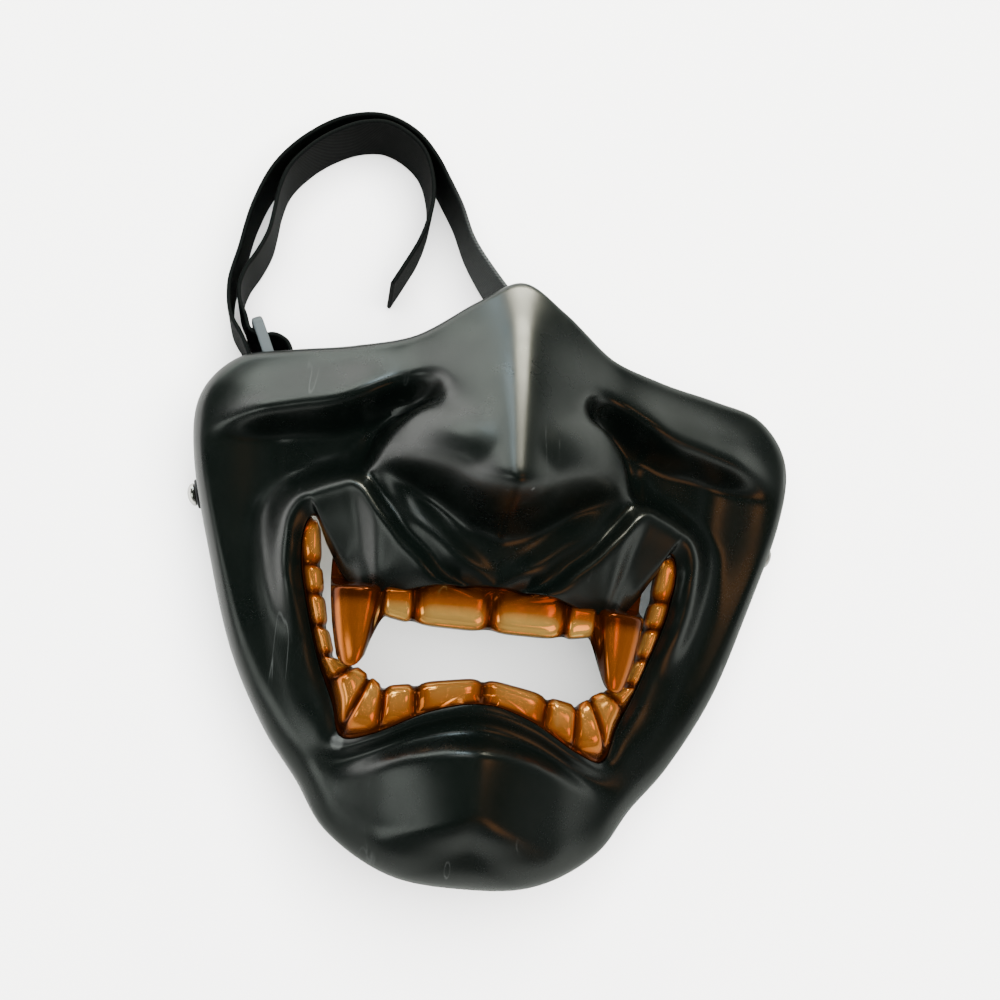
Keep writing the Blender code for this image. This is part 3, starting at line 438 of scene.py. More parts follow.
def lay_grid(name, points, ring_u, ring_v, flat_uv=None, groove=None):
    """Object from a grid of points (u, v, xyz) in mm; ring_u and ring_v close it on itself.
    Faces are turned outwards where the summed volume under them comes out negative, and
    points that coincide, as at a pinched end, are welded."""
    index = np.arange(points.shape[0] * points.shape[1]).reshape(points.shape[:2])
    index = np.vstack([index, index[:1]]) if ring_u else index
    index = np.hstack([index, index[:, :1]]) if ring_v else index
    quads = np.stack([index[:-1, :-1], index[1:, :-1], index[1:, 1:], index[:-1, 1:]], -1).reshape(-1, 4)
    flat = ((points + row_shift) * 0.001).reshape(-1, 3)
    a, b, c, d = [flat[quads[:, k]] for k in range(4)]
    if (np.cross(b - a, c - a) * a).sum() + (np.cross(c - a, d - a) * a).sum() < 0.0:
        quads = quads[:, ::-1]
    mesh = bpy.data.meshes.new(name)
    mesh.from_pydata(flat.tolist(), [], quads.tolist())
    mesh.polygons.foreach_set("use_smooth", np.ones(len(quads), bool))
    if flat_uv is not None:
        layer = mesh.uv_layers.new(name="UVMap")
        layer.data.foreach_set("uv", flat_uv.reshape(-1, 2)[quads.ravel()].ravel())
    # The groove attribute is the painted shade laid on the plating of the teeth.
    if groove is not None:
        painted_shade_mark = mesh.attributes.new("groove", "FLOAT", "POINT")
        painted_shade_mark.data.foreach_set("value", groove.ravel())
    work = bmesh.new()
    work.from_mesh(mesh)
    bmesh.ops.remove_doubles(work, verts=work.verts, dist=1e-6)
    work.to_mesh(mesh)
    work.free()
    piece = bpy.data.objects.new(name, mesh)
    bpy.context.scene.collection.objects.link(piece)
    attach(piece, "root")
    return piece


def soften(points, passes):
    """Mean of each point and its four neighbours, over and over; the first axis is a ring."""
    for _ in range(passes):
        inner = np.concatenate([points[:, :1], points, points[:, -1:]], 1)
        points = (2 * points + np.roll(points, 1, 0) + np.roll(points, -1, 0)
                  + inner[:, :-2] + inner[:, 2:]) / 6.0
    return points


def both_halves(half):
    """Ring of columns: the right half, then its mirror image back to the start."""
    return np.concatenate([half, half[-2:0:-1] * np.array([-1.0, 1.0, 1.0])])


half_columns = 300
face_rows = 104
wall_rows = 16
back_rows = 24
skin_passes = 9
calm_passes = 12
front_row = 20
across_face = np.linspace(0.0, 1.0, face_rows + 1)
across_wall = np.linspace(1.0, 2.0, wall_rows + 1)[1:]
across_rows = np.concatenate([across_face, across_wall])
place, across = np.meshgrid(np.linspace(0.0, len(stations) - 1.0, half_columns + 1), across_rows,
                            indexing="ij")
half_skin = np.stack(shell_points(place.ravel(), across.ravel()), 1).reshape(place.shape + (3,))
half_skin[0, :, 0] = 0.0
half_skin[-1, :, 0] = 0.0
skin = both_halves(half_skin)
on_face = (fade(0.0, 0.05, across_rows) * fade(0.97, 0.90, across_rows))[None, :, None]
skin = skin + (soften(skin, skin_passes) - skin) * on_face
calm = soften(skin, calm_passes)
facing = np.cross(np.roll(calm, -1, 0) - np.roll(calm, 1, 0), np.gradient(calm, axis=1))
facing /= np.linalg.norm(facing, axis=2)[:, :, None]
facing *= np.sign(facing[0, front_row, 2])
back_pick = np.round(np.linspace(face_rows + wall_rows, 0, back_rows + 1)).astype(int)
back = calm[:, back_pick] - wall * facing[:, back_pick]
back[:, 0] = skin[:, back_pick[0]] - wall * facing[:, back_pick[0]] * np.array([1.0, 1.0, 0.0])
back[:, :, 2] = np.maximum(back[:, :, 2], 0.0)
back[:, -1] = skin[:, 0] - np.array([0.0, 0.0, wall])
mask_shell = lay_grid("guard_shell", np.concatenate([skin, back], 1), True, True)
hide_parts("mask_shell")


# Its skin: satin black with a fine grain, hair scratches, smudges, and lighter spots on the tip
# of the nose and beside the chin that are partly wear and partly painted highlights.
wear_and_glint_spots = ((0.5, 9.5, 92.0, 1.6), (4.0, 6.5, 91.0, 1.1), (-2.5, 5.0, 91.0, 1.2),
              (-36.8, -58.6, 43.5, 4.0))
wear_and_glint_black = (0.022, 0.024, 0.023)
scratch_level = 0.66
scratch_half = 0.006
scratch_depth = 0.12
bump_reach = 0.0002


def node_group(name, inputs, outputs):
    """Empty node group with float inputs (name, default) and float outputs (name)."""
    tree = bpy.data.node_groups.new(name, "ShaderNodeTree")
    for label, default in inputs:
        socket = tree.interface.new_socket(name=label, in_out="INPUT", socket_type="NodeSocketFloat")
        socket.default_value = default
    for label in outputs:
        tree.interface.new_socket(name=label, in_out="OUTPUT", socket_type="NodeSocketFloat")
    return tree, tree.nodes.new("NodeGroupInput"), tree.nodes.new("NodeGroupOutput")


def map_range(tree, source, low, high, to_low=0.0, to_high=1.0):
    """Output that runs from to_low to to_high as the source runs from low to high, eased."""
    made = node(tree, "MapRange", [("Value", source)], interpolation_type="SMOOTHSTEP",
                From_Min=low, From_Max=high, To_Min=to_low, To_Max=to_high)
    return made.outputs["Result"]


def moulded_skin_group():
    """Surface of a handled moulding: fine grain from a noise, smudges from a broad noise, and
    hair scratches where one of three stretched noises comes near its scratch level and the
    smudges are strong. It puts out Height = grain - scratch_depth * scratch, the smudge noise
    spread over 0 to 1 as Smudge, and the mask Scratch."""
    tree, given, result = node_group(
        "moulded_skin", (("Grain Scale", 2600.0), ("Smudge Scale", 38.0), ("Scratch Scale", 90.0)),
        ("Height", "Smudge", "Scratch"))
    place_at = node(tree, "TexCoord").outputs["Object"]
    grain = node(tree, "TexNoise", [("Vector", place_at), ("Scale", given.outputs["Grain Scale"])],
                 Detail=3.0)
    smudge = node(tree, "TexNoise", [("Vector", place_at), ("Scale", given.outputs["Smudge Scale"])],
                  Detail=5.0, Roughness=0.62)
    total = 0.0
    for turn, stretch in ((0.6, 0.06), (-0.9, 0.045), (2.0, 0.08)):
        line_up = node(tree, "Mapping", [("Vector", place_at)],
                       Rotation=(0.15, 0.1, turn), Scale=(1.0, stretch, 0.35))
        streak = node(tree, "TexNoise", [("Vector", line_up.outputs[0]),
                                         ("Scale", given.outputs["Scratch Scale"])], Detail=2.0)
        off_level = sum_up(tree, "SUBTRACT", streak.outputs[0], scratch_level)
        thin = map_range(tree, sum_up(tree, "ABSOLUTE", off_level, 0.0), scratch_half, 0.0)
        total = sum_up(tree, "MAXIMUM", total, thin)
    patchy = map_range(tree, smudge.outputs[0], 0.50, 0.62)
    scratch = sum_up(tree, "MULTIPLY", total, patchy, True)
    height = sum_up(tree, "SUBTRACT", grain.outputs[0], sum_up(tree, "MULTIPLY", scratch, scratch_depth))
    tree.links.new(height, result.inputs["Height"])
    tree.links.new(map_range(tree, smudge.outputs[0], 0.36, 0.66), result.inputs["Smudge"])
    tree.links.new(scratch, result.inputs["Scratch"])
    return tree


moulded_skin = moulded_skin_group()


def dress(tree, shader, clean, worn, rough_low, rough_high, bump, **scales):
    """Lay the moulded skin on a shader: colour from clean to worn where scratched, roughness over
    the smudges, and a bump of the grain and scratches. Gives the colour back."""
    dressed = node(tree, "Group", node_tree=moulded_skin, **scales)
    tint = blend(tree, dressed.outputs["Scratch"], clean, worn)
    tree.links.new(tint, shader.inputs["Base Color"])
    tree.links.new(map_range(tree, dressed.outputs["Smudge"], 0.0, 1.0, rough_low, rough_high),
                   shader.inputs["Roughness"])
    raised = node(tree, "Bump", [("Height", dressed.outputs["Height"])], Strength=bump, Distance=bump_reach)
    tree.links.new(raised.outputs["Normal"], shader.inputs["Normal"])
    return tint


def spot_mask(tree, centres):
    """Largest of soft balls round the given places (x, y, z and reach in mm), broken by noise."""
    place_at = node(tree, "TexCoord").outputs["Object"]
    ragged = node(tree, "TexNoise", [("Vector", place_at)], Scale=900.0, Detail=4.0).outputs[0]
    total = 0.0
    for x, y, z, reach in centres:
        away = node(tree, "VectorMath", [(0, place_at)], operation="DISTANCE")
        away.inputs[1].default_value = tuple((np.array((x, y, z)) + row_shift) * 0.001)
        total = sum_up(tree, "MAXIMUM", total, map_range(tree, away.outputs["Value"], reach * 0.001, 0.0))
    return map_range(tree, sum_up(tree, "MULTIPLY", total, sum_up(tree, "ADD", ragged, 0.35)), 0.25, 0.62)


satin_black, satin_shader, satin_tree = paint("satin_black_plastic", (0.0024, 0.0036, 0.0028),
                                               metallic=0.0, roughness=0.31)
scratched = dress(satin_tree, satin_shader, (0.0008, 0.0014, 0.0011), (0.016, 0.018, 0.017),
                  rough_low=0.27, rough_high=0.35, bump=0.06)
# Lighter spots on the nose tip and beside the chin: partly wear, partly painted highlights.
satin_tree.links.new(blend(satin_tree, spot_mask(satin_tree, wear_and_glint_spots), scratched, wear_and_glint_black),
                     satin_shader.inputs["Base Color"])
mask_shell.data.materials.append(satin_black)


# The upper teeth: one thin plastic insert, plated in copper gold, glued behind the upper
# lip. Each half has a broad front tooth, a narrow one and a long fang.
upper_columns = ("top_x_a", "top_x_b", "low_x_a", "low_x_b", "low_y_a", "low_y_b", "z_a", "z_b",
                 "swell", "top_y")
upper_rows = {
    "central": (0.4, 20.3, 0.4, 20.2, -26.4, -26.2, 58.6, 57.6, 1.2, -10.5),
    "lateral": (20.9, 29.1, 20.8, 28.9, -26.0, -24.4, 57.4, 55.8, 1.0, -9.5),
    "fang": (29.7, 43.6, 32.2, 39.6, -38.6, -39.0, 56.0, 51.2, 3.0, -7.5),
}
tooth_columns = 26
tooth_rows = 40
rear_passes = 6
teeth_plate = 3.4
lip_clear = 6.4


def upper_tooth(row):
    """One tooth: straight sides in plan that taper with depth^2.1, a pillow across it of swell
    times (1 - |2v - 1|^5), or ^2.4 on the fang, and a lower edge that rolls back with depth^9."""
    tooth = dict(zip(upper_columns, row))
    v, w = np.meshgrid(np.linspace(0.0, 1.0, tooth_columns), np.linspace(0.0, 1.0, tooth_rows),
                       indexing="ij")
    side = np.abs(2 * v - 1)
    fang = tooth["swell"] > 2.0
    top_x, low_x, low_y, z_line = [tooth[name + "_a"] * (1 - v) + tooth[name + "_b"] * v
                                   for name in ("top_x", "low_x", "low_y", "z")]
    taper = w ** 2.1
    lifted = 3.2 * side ** 2.4 if fang else 1.5 * side ** 7
    y = tooth["top_y"] + (low_y + lifted - tooth["top_y"]) * w
    x = top_x * (1 - taper) + low_x * taper
    pillow = tooth["swell"] * (1.0 - side ** (2.4 if fang else 5.0)) - 1.5 * side ** 10
    z = z_line + pillow - 2.4 * w ** 9 - (0.0 if fang else 0.9 * np.abs(2 * w - 1.25) ** 3)
    z = z + (np.minimum(face_height(x, y) - lip_clear, z + 3.0) - z) * fade(-18.5, -14.0, y)
    # Painted shade on the plating: darker over the whole fang, at the sides between teeth, under the upper
    # lip and towards the top.
    painted_shade = (0.56 if fang else 0.0) + side ** 7 + 0.8 * fade(-23.5, -17.0, y) + 0.25 * (1 - w) ** 3
    return np.stack([x, y, z], 2), np.clip(painted_shade, 0.0, 1.0)


def close_plate(name, front, groove, thick):
    """Plate from its front: the back is the calmed front set back by thick, and both ends are pinched."""
    rear = front.copy()
    for _ in range(rear_passes):
        rear[1:-1] = (rear[:-2] + rear[1:-1] + rear[2:]) / 3.0
    rear[:, :, 2] -= thick
    ring = np.concatenate([front, rear[:, ::-1]], 1)
    # Painted shade mark: as given on the front, full shade on the back.
    painted_shade_mark = np.concatenate([groove, np.ones_like(groove)], 1)
    middle = (front[[0, -1]] + rear[[0, -1]]) / 2.0
    caps = np.concatenate([middle, middle[:, ::-1]], 1)
    ring = np.concatenate([caps[:1], ring, caps[1:]])
    return lay_grid(name, ring, False, True, groove=np.concatenate([painted_shade_mark[:1], painted_shade_mark, painted_shade_mark[-1:]]))


def tooth_insert(name, teeth, mirror_first):
    """Plate of the teeth of one half side by side, with their mirror image before or after them."""
    front, painted_shade = [np.concatenate(grids) for grids in zip(*teeth)]
    halves = [(front[::-1] * np.array([-1.0, 1.0, 1.0]), painted_shade[::-1]), (front, painted_shade)]
    fronts, painted_shades = zip(*(halves if mirror_first else halves[::-1]))
    return close_plate(name, np.concatenate(fronts), np.concatenate(painted_shades), teeth_plate)


upper_teeth = tooth_insert("guard_upper_teeth", [upper_tooth(row) for row in upper_rows.values()], True)
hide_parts("upper_teeth")
copper_gold, gold_shader, gold_tree = paint("copper_gold_plating", (0.95, 0.45, 0.11),
                                            metallic=0.92, roughness=0.2)
# The groove attribute darkens the copper gold through the ramp below as painted shade.
painted_shade_attribute = node(gold_tree, "Attribute", attribute_name="groove")
plated = node(gold_tree, "ValToRGB", [("Fac", painted_shade_attribute.outputs["Fac"])])
plated.color_ramp.elements[0].color = (1.0, 0.56, 0.13, 1.0)
plated.color_ramp.elements[1].color = (0.10, 0.022, 0.003, 1.0)
plated.color_ramp.elements.new(0.38).color = (0.58, 0.15, 0.016, 1.0)
dress(gold_tree, gold_shader, plated.outputs["Color"], (1.0, 0.60, 0.20),
      rough_low=0.11, rough_high=0.22, bump=0.05)
upper_teeth.data.materials.append(copper_gold)


# The lower teeth: the matching insert round the lower lip and up both sides of the
# mouth, with its flange glued behind the shell.
lower_columns = ("from_station", "to_station", "in_x_a", "in_y_a", "in_x_b", "in_y_b", "crown_z")
lower_rows = {
    "side_1": (5.35, 6.93, 47.9, 0.6, 46.2, -11.0, 44.6),
    "side_2": (6.98, 7.58, 46.0, -11.6, 44.6, -19.0, 45.2),
    "side_3": (7.63, 8.25, 44.4, -19.6, 42.6, -27.8, 46.0),
    "side_4": (8.30, 8.90, 42.4, -28.3, 40.0, -35.2, 45.6),
    "side_5": (8.95, 9.55, 39.8, -36.2, 34.4, -37.6, 46.6),
    "corner": (9.62, 10.85, 33.9, -38.0, 30.2, -40.3, 50.0),
    "block": (10.95, 12.05, 29.7, -40.7, 26.6, -42.8, 52.4),
    "lateral": (12.10, 12.72, 25.8, -42.9, 18.3, -41.6, 54.6),
    "central": (12.78, 13.96, 17.5, -41.3, 0.4, -38.4, 56.6),
}
flange_reach = 0.065


def lower_tooth(row):
    """One tooth: straight lines in plan from its inner edge to the mouth edge, a rounded crown
    of 1 - |2w - 0.9|^2.4, and grooves of |2v - 1|^5 beside its neighbours."""
    tooth = dict(zip(lower_columns, row))
    v, w = np.meshgrid(np.linspace(0.0, 1.0, tooth_columns // 2 + 4), np.linspace(0.0, 1.0, tooth_rows - 8),
                       indexing="ij")
    side = np.abs(2 * v - 1)
    station = tooth["from_station"] * (1 - v[:, 0]) + tooth["to_station"] * v[:, 0]
    edge = np.stack(shell_points(station, np.zeros_like(station)), 1)
    behind = np.stack(shell_points(station, np.full_like(station, flange_reach)), 1)
    inner = np.stack([tooth["in_x_a"] * (1 - v[:, 0]) + tooth["in_x_b"] * v[:, 0],
                      tooth["in_y_a"] * (1 - v[:, 0]) + tooth["in_y_b"] * v[:, 0]], 1)
    reach = edge[:, :2] - inner
    reach /= np.linalg.norm(reach, axis=1)[:, None]
    inner = inner + reach * (1.1 * side[:, 0] ** 6)[:, None]
    outer = edge[:, :2] - reach * 0.3
    plan = inner[:, None] * (1 - w[:, :, None]) + outer[:, None] * w[:, :, None]
    crown = tooth["crown_z"]
    base = (crown - 2.6) * (1 - w) + (edge[:, 2:3] - 1.0) * w
    bulge = np.maximum((crown - np.minimum(base, crown)) * (1.0 - np.abs(2 * w - 0.9) ** 2.4), 0.0)
    z = base + bulge - 1.7 * side ** 5 * np.clip(1.3 - np.abs(2 * w - 1), 0.0, 1.0) + 0.5 * (1 - side ** 3)
    z = z - 1.6 * (1 - w) ** 8
    front = np.concatenate([plan, z[:, :, None]], 2)
    drop = edge[:, None] - np.concatenate([reach * 0.3, np.full((len(v), 1), 3.9)], 1)[:, None]
    flange = behind[:, None] - np.array([0.0, 0.0, lip_clear])
    front = np.concatenate([front, drop, flange], 1)
    # Painted shade on the lower teeth: some over all of them, more at their sides, at the inner end and
    # most at the mouth edge under the shell.
    painted_shade = 0.16 + 0.22 * w + side ** 7 + 0.8 * fade(0.80, 1.0, w) + 0.5 * fade(0.12, 0.0, w)
    painted_shade = np.clip(painted_shade, 0.0, 1.0)
    return front, np.concatenate([painted_shade, painted_shade[:, -1:], painted_shade[:, -1:]], 1)


lower_teeth = tooth_insert("guard_lower_teeth", [lower_tooth(row) for row in lower_rows.values()], False)
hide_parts("lower_teeth")
lower_teeth.data.materials.append(copper_gold)


# The rivets: domed nickel rivets through both side walls, which hold the strap against
# the inside of the shell.
rivet_station = 7.33
rivet_height = 15.5
wall_height = 26.0
seat_passes = 40
turn_columns = 64
dome_points = 14
head_radius = 3.3
head_rise = 2.3
shank_radius = 1.6
washer_radius = 4.3
washer_thick = 0.9
flange_thick = 0.8
gap = 0.35
strap_width = 25.0
strap_thick = 1.3
strap_inset = 4.6


def rivet_seat():
    """Point and outward direction of the right rivet: down the side wall until z is its height."""
    pair = np.array([rivet_station, rivet_station + 0.05])
    down = 0.4
    for _ in range(seat_passes):
        spot = np.array(shell_points(pair, np.full(2, 1.0 + down)))
        down += (spot[2, 0] - rivet_height) / wall_height
    along = spot[:, 1] - spot[:, 0]
    outward = np.array([-along[1], along[0], 0.0]) / np.hypot(along[0], along[1])
    return spot[:, 0], outward * np.sign(outward[0])


def turn_profile(name, profile, point, axis, ring):
    """Body of revolution: each (distance along the axis, radius) is carried round the axis."""
    profile = np.array(profile)
    angle = np.linspace(0.0, 2 * np.pi, turn_columns, endpoint=False)[:, None, None]
    side = np.cross(axis, (0.0, 0.0, 1.0))
    side /= np.linalg.norm(side)
    over = np.cross(axis, side)
    points = (point + axis * profile[None, :, :1]
              + (side * np.cos(angle) + over * np.sin(angle)) * profile[None, :, 1:])
    return lay_grid(name, points, True, ring)


seat, outward = rivet_seat()
nickel, nickel_shader, nickel_tree = paint("nickel_plate", (0.74, 0.72, 0.68), metallic=1.0, roughness=0.20)
dress(nickel_tree, nickel_shader, (0.74, 0.72, 0.68), (0.45, 0.42, 0.38),
      rough_low=0.16, rough_high=0.34, bump=0.06, Scratch_Scale=400.0)
black_rubber, rubber_shader, rubber_tree = paint("black_washer_rubber", (0.016, 0.016, 0.017),
                                                 metallic=0.0, roughness=0.62)
dress(rubber_tree, rubber_shader, (0.006, 0.006, 0.0065), (0.05, 0.05, 0.05),
      rough_low=0.5, rough_high=0.72, bump=0.25, Grain_Scale=1500.0)
head_low = gap + washer_thick + 0.15
arc = np.linspace(0.05, np.pi / 2, dome_points)
for sign, side_name, layers in ((1.0, "right", 1), (-1.0, "left", 2)):
    tail = -(strap_inset + layers * (strap_thick + gap))
    profile = [(tail - flange_thick, 0.0), (tail - flange_thick, head_radius + 0.1),
               (tail - flange_thick + 0.3, head_radius + 0.6), (tail - 0.1, head_radius + 0.7),
               (tail, head_radius + 0.5), (tail, shank_radius), (head_low, shank_radius),
               (head_low, head_radius - 0.2), (head_low + 0.15, head_radius)]
    profile += [(head_low + 0.4 + (head_rise - 0.4) * np.sin(a), head_radius * np.cos(a)) for a in arc]
    point, axis = seat * np.array([sign, 1.0, 1.0]), outward * np.array([sign, 1.0, 1.0])
    rivet = turn_profile("guard_rivet_" + side_name, profile, point, axis, False)
    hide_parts("rivet_" + side_name)
    rivet.data.materials.append(nickel)
    low, high = gap, gap + washer_thick
    bore = shank_radius + 0.3
    profile = [(low, bore), (low, washer_radius - 0.3), (low + 0.1, washer_radius - 0.08),
               (low + 0.3, washer_radius), (high - 0.3, washer_radius - 0.02),
               (high - 0.08, washer_radius - 0.14), (high, washer_radius - 0.35), (high, bore)]
    washer = turn_profile("guard_washer_" + side_name, profile, point, axis, True)
    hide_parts("rivet_washer_" + side_name)
    washer.data.materials.append(black_rubber)


# The strap: one length of black 25 mm webbing, from the right rivet round the loop to the
# left rivet, turned there and led back through the slider to its cut end.
loop_line = (
    (75.0, 28.5, 2.0, 0.0), (62.0, 37.5, 1.2, 0.0), (46.0, 45.5, 0.8, 3.0), (28.0, 54.5, 0.6, 5.0),
    (10.0, 67.0, 0.4, 6.0), (-5.0, 84.0, 0.3, 2.5), (-12.5, 95.5, 0.3, 0.0), (-17.3, 106.0, 0.3, 0.0),
    (-21.5, 113.0, 0.3, 0.0), (-25.5, 119.3, 0.3, 0.0), (-32.5, 126.6, 0.3, 0.0), (-43.2, 130.7, 0.3, 0.0),
    (-53.6, 128.9, 0.3, 0.0), (-64.9, 121.6, 0.3, 0.0), (-73.5, 111.3, 0.3, 0.0), (-78.7, 97.5, 0.5, 0.0),
    (-81.0, 83.2, 0.9, 0.0), (-82.7, 70.6, 1.5, 0.0), (-80.9, 61.6, 2.0, 0.0), (-76.4, 54.6, 2.3, 0.0),
    (-73.0, 46.5, 2.5, 0.0), (-72.0, 38.0, 2.7, 0.0), (-76.0, 27.0, 3.0, 0.0),
)
tail_line = (
    (-73.2, 24.0, 3.0, 0.0), (-67.5, 33.0, 2.8, 0.0), (-63.5, 42.0, 2.6, 0.0), (-61.8, 50.0, 2.5, 0.0),
    (-64.0, 55.6, 2.5, 0.0), (-67.6, 57.2, 2.5, 0.0), (-71.4, 56.5, 2.5, 0.0), (-75.0, 57.9, 2.5, 0.0),
    (-76.8, 61.9, 2.4, 0.0), (-79.0, 66.5, 2.0, 0.0), (-79.7, 71.2, 1.7, 0.0), (-78.7, 76.0, 1.4, 0.0),
    (-75.6, 82.6, 1.0, 0.0), (-73.2, 89.5, 0.7, 0.0), (-72.4, 96.0, 0.5, 0.0), (-71.9, 102.0, 0.3, 0.0),
    (-70.0, 109.5, 0.3, 0.0), (-64.6, 117.2, 0.3, 0.0), (-56.5, 124.0, 0.3, 0.0), (-48.5, 127.8, 0.3, 0.0),
    (-42.5, 128.6, 0.3, 0.0), (-35.6, 126.2, 0.3, 0.0), (-30.0, 121.4, 0.3, 0.0), (-26.9, 114.5, 0.3, 0.0),
    (-25.7, 107.0, 0.3, 0.0), (-26.4, 100.0, 0.3, 0.0), (-28.4, 92.5, 0.3, 0.0), (-31.6, 85.3, 0.3, 0.0),
    (-35.2, 77.8, 0.3, 0.0),
)


strap_columns = 620
face_points = 29
# Where along the strap, in metres, the painted sheen on the right pass fades in and out.
sheen_begins = (0.045, 0.075)
sheen_ends = (0.165, 0.125)


def strap_line():
    """Points of the strap's lower edge, its rise and its lean, from rivet to rivet and back."""
    along = np.array([-outward[1], outward[0]])
    lift = rivet_height - strap_width / 2
    near = strap_inset + strap_thick / 2
    far = near + strap_thick + gap

    def beside(depth, slide, sign=1.0):
        spot = (seat[:2] - outward[:2] * depth + along * slide) * np.array([sign, 1.0])
        return (spot[0], spot[1], lift, 0.0)

    line = [beside(near, slide) for slide in (-8.0, -4.0, 0.0, 7.0)] + list(loop_line)
    for depth, slide in ((near, 8.0), (near, 3.0), (near, -3.0), (near + 0.2, -8.0), (near + 1.4, -12.0),
                         (near + 3.4, -11.6), (far + 1.2, -7.5), (far, -3.0), (far, 3.0), (far + 0.6, 8.0)):
        line.append(beside(depth, slide, -1.0))
    return np.array(line + list(tail_line))


def webbing_band(line, columns):
    """Band along the line: an oblong section of the strap's width and thickness, with rounded
    edges, stands on the line and leans by the lean; u runs along it and v round the section."""
    knots = np.concatenate([[0.0], np.cumsum(np.hypot(*np.diff(line[:, :2], axis=0).T))])
    place = np.linspace(0.0, knots[-1], columns)
    x, y, rise, lean = [smooth_curve(knots, line[:, c], place) for c in range(4)]
    across = np.stack([np.gradient(y, place), -np.gradient(x, place), np.zeros(columns)], 1)
    across /= np.linalg.norm(across, axis=1)[:, None]
    tilt = np.radians(lean)[:, None]
    upward = across * np.sin(tilt) + np.array([0.0, 0.0, 1.0]) * np.cos(tilt)
    out = across * np.cos(tilt) - np.array([0.0, 0.0, 1.0]) * np.sin(tilt)
    climb = 0.5 - 0.5 * np.cos(np.pi * np.linspace(0.0, 1.0, face_points))
    bulge = strap_thick / 2 * np.minimum(1.0, (1.0 - np.abs(2 * climb - 1) ** 22) ** 0.5 + 0.12)
    up = np.concatenate([climb, climb[-2:0:-1]]) * strap_width
    off = np.concatenate([bulge, -bulge[-2:0:-1]])
    off[0] = off[face_points - 1] = 0.0
    foot = np.stack([x, y, rise], 1)
    points = foot[:, None] + upward[:, None] * up[None, :, None] + out[:, None] * off[None, :, None]
    flat_uv = np.stack(np.broadcast_arrays(place[:, None], up[None, :]), 2) * 0.001
    caps = [(foot[end] + upward[end] * up[:, None])[None] for end in (0, -1)]
    points = np.concatenate([caps[0], points, caps[1]])
    return points, np.concatenate([flat_uv[:1], flat_uv, flat_uv[-1:]])


band, band_uv = webbing_band(strap_line(), strap_columns)
strap = lay_grid("guard_strap", band, False, True, flat_uv=band_uv)
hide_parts("strap")


def webbing_group():
    """Twill of the webbing from its own lengths in metres: u along it and v across it. Ribs are
    sin of the diagonal (u + v) by the pitch, crossed by the fine yarns along u, and both edges
    carry a plain selvedge. It puts out Height, Thread (the rib tops as painted sheen, broken by a fibre
    noise) and Edge (the share at both edges, used for a painted glint)."""
    tree, given, result = node_group("webbing_weave", (("Pitch", 0.0011), ("Width", strap_width * 0.001)),
                                     ("Height", "Thread", "Edge"))
    lengths = node(tree, "SeparateXYZ", [("Vector", node(tree, "UVMap", uv_map="UVMap").outputs[0])])
    along, over = lengths.outputs["X"], lengths.outputs["Y"]
    full_turn = 2 * np.pi
    slant = sum_up(tree, "DIVIDE", sum_up(tree, "ADD", along, over), given.outputs["Pitch"])
    rib = sum_up(tree, "SINE", sum_up(tree, "MULTIPLY", slant, full_turn), 0.0)
    yarn_turn = sum_up(tree, "DIVIDE", sum_up(tree, "MULTIPLY", over, 1.7), given.outputs["Pitch"])
    yarn = sum_up(tree, "SINE", sum_up(tree, "MULTIPLY", yarn_turn, full_turn), 0.0)
    weave = sum_up(tree, "ADD", sum_up(tree, "MULTIPLY", rib, 0.35), sum_up(tree, "MULTIPLY", yarn, 0.15))
    share = sum_up(tree, "DIVIDE", over, given.outputs["Width"])
    from_middle = sum_up(tree, "ABSOLUTE", sum_up(tree, "SUBTRACT", share, 0.5), 0.0)
    edge = map_range(tree, from_middle, 0.44, 0.47)
    hair = node(tree, "TexNoise", [("Vector", node(tree, "TexCoord").outputs["Object"])],
                Scale=1400.0, Detail=4.0)
    rib_sheen = sum_up(tree, "MULTIPLY", sum_up(tree, "ADD", weave, 0.5), hair.outputs[0], True)
    tree.links.new(sum_up(tree, "ADD", weave, sum_up(tree, "MULTIPLY", edge, 0.4)), result.inputs["Height"])
    tree.links.new(rib_sheen, result.inputs["Thread"])
    tree.links.new(edge, result.inputs["Edge"])
    return tree


webbing, webbing_shader, webbing_tree = paint("black_webbing", (0.006, 0.007, 0.0065),
                                                metallic=0.0, roughness=0.62)
weave = node(webbing_tree, "Group", node_tree=webbing_group())
# Painted sheen: the rib tops are coloured lighter than the rest of the black yarn.
threads_with_rib_sheen = blend(webbing_tree, weave.outputs["Thread"], (0.0004, 0.0006, 0.0005), (0.0034, 0.0041, 0.0038))
# Painted glint: a lighter colour along both edges of the webbing.
with_edge_glint = blend(webbing_tree, weave.outputs["Edge"], threads_with_rib_sheen, (0.0022, 0.0027, 0.0025))
# Painted sheen: a lighter grey stretch along the strap's right pass, strongest on the threads.
strap_run = node(webbing_tree, "SeparateXYZ",
                 [("Vector", node(webbing_tree, "UVMap", uv_map="UVMap").outputs[0])]).outputs["X"]
painted_sheen = sum_up(webbing_tree, "MULTIPLY", map_range(webbing_tree, strap_run, *sheen_begins),
               map_range(webbing_tree, strap_run, *sheen_ends))
on_threads = sum_up(webbing_tree, "ADD", weave.outputs["Thread"], 0.25)
painted_sheen = sum_up(webbing_tree, "MULTIPLY", painted_sheen, on_threads, True)
webbing_tree.links.new(blend(webbing_tree, painted_sheen, with_edge_glint, (0.060, 0.064, 0.062)),
                       webbing_shader.inputs["Base Color"])
webbing_bump = node(webbing_tree, "Bump", [("Height", weave.outputs["Height"])],
                    Strength=0.5, Distance=bump_reach)
webbing_tree.links.new(webbing_bump.outputs["Normal"], webbing_shader.inputs["Normal"])
webbing_shader.inputs["Specular IOR Level"].default_value = 0.03
strap.data.materials.append(webbing)


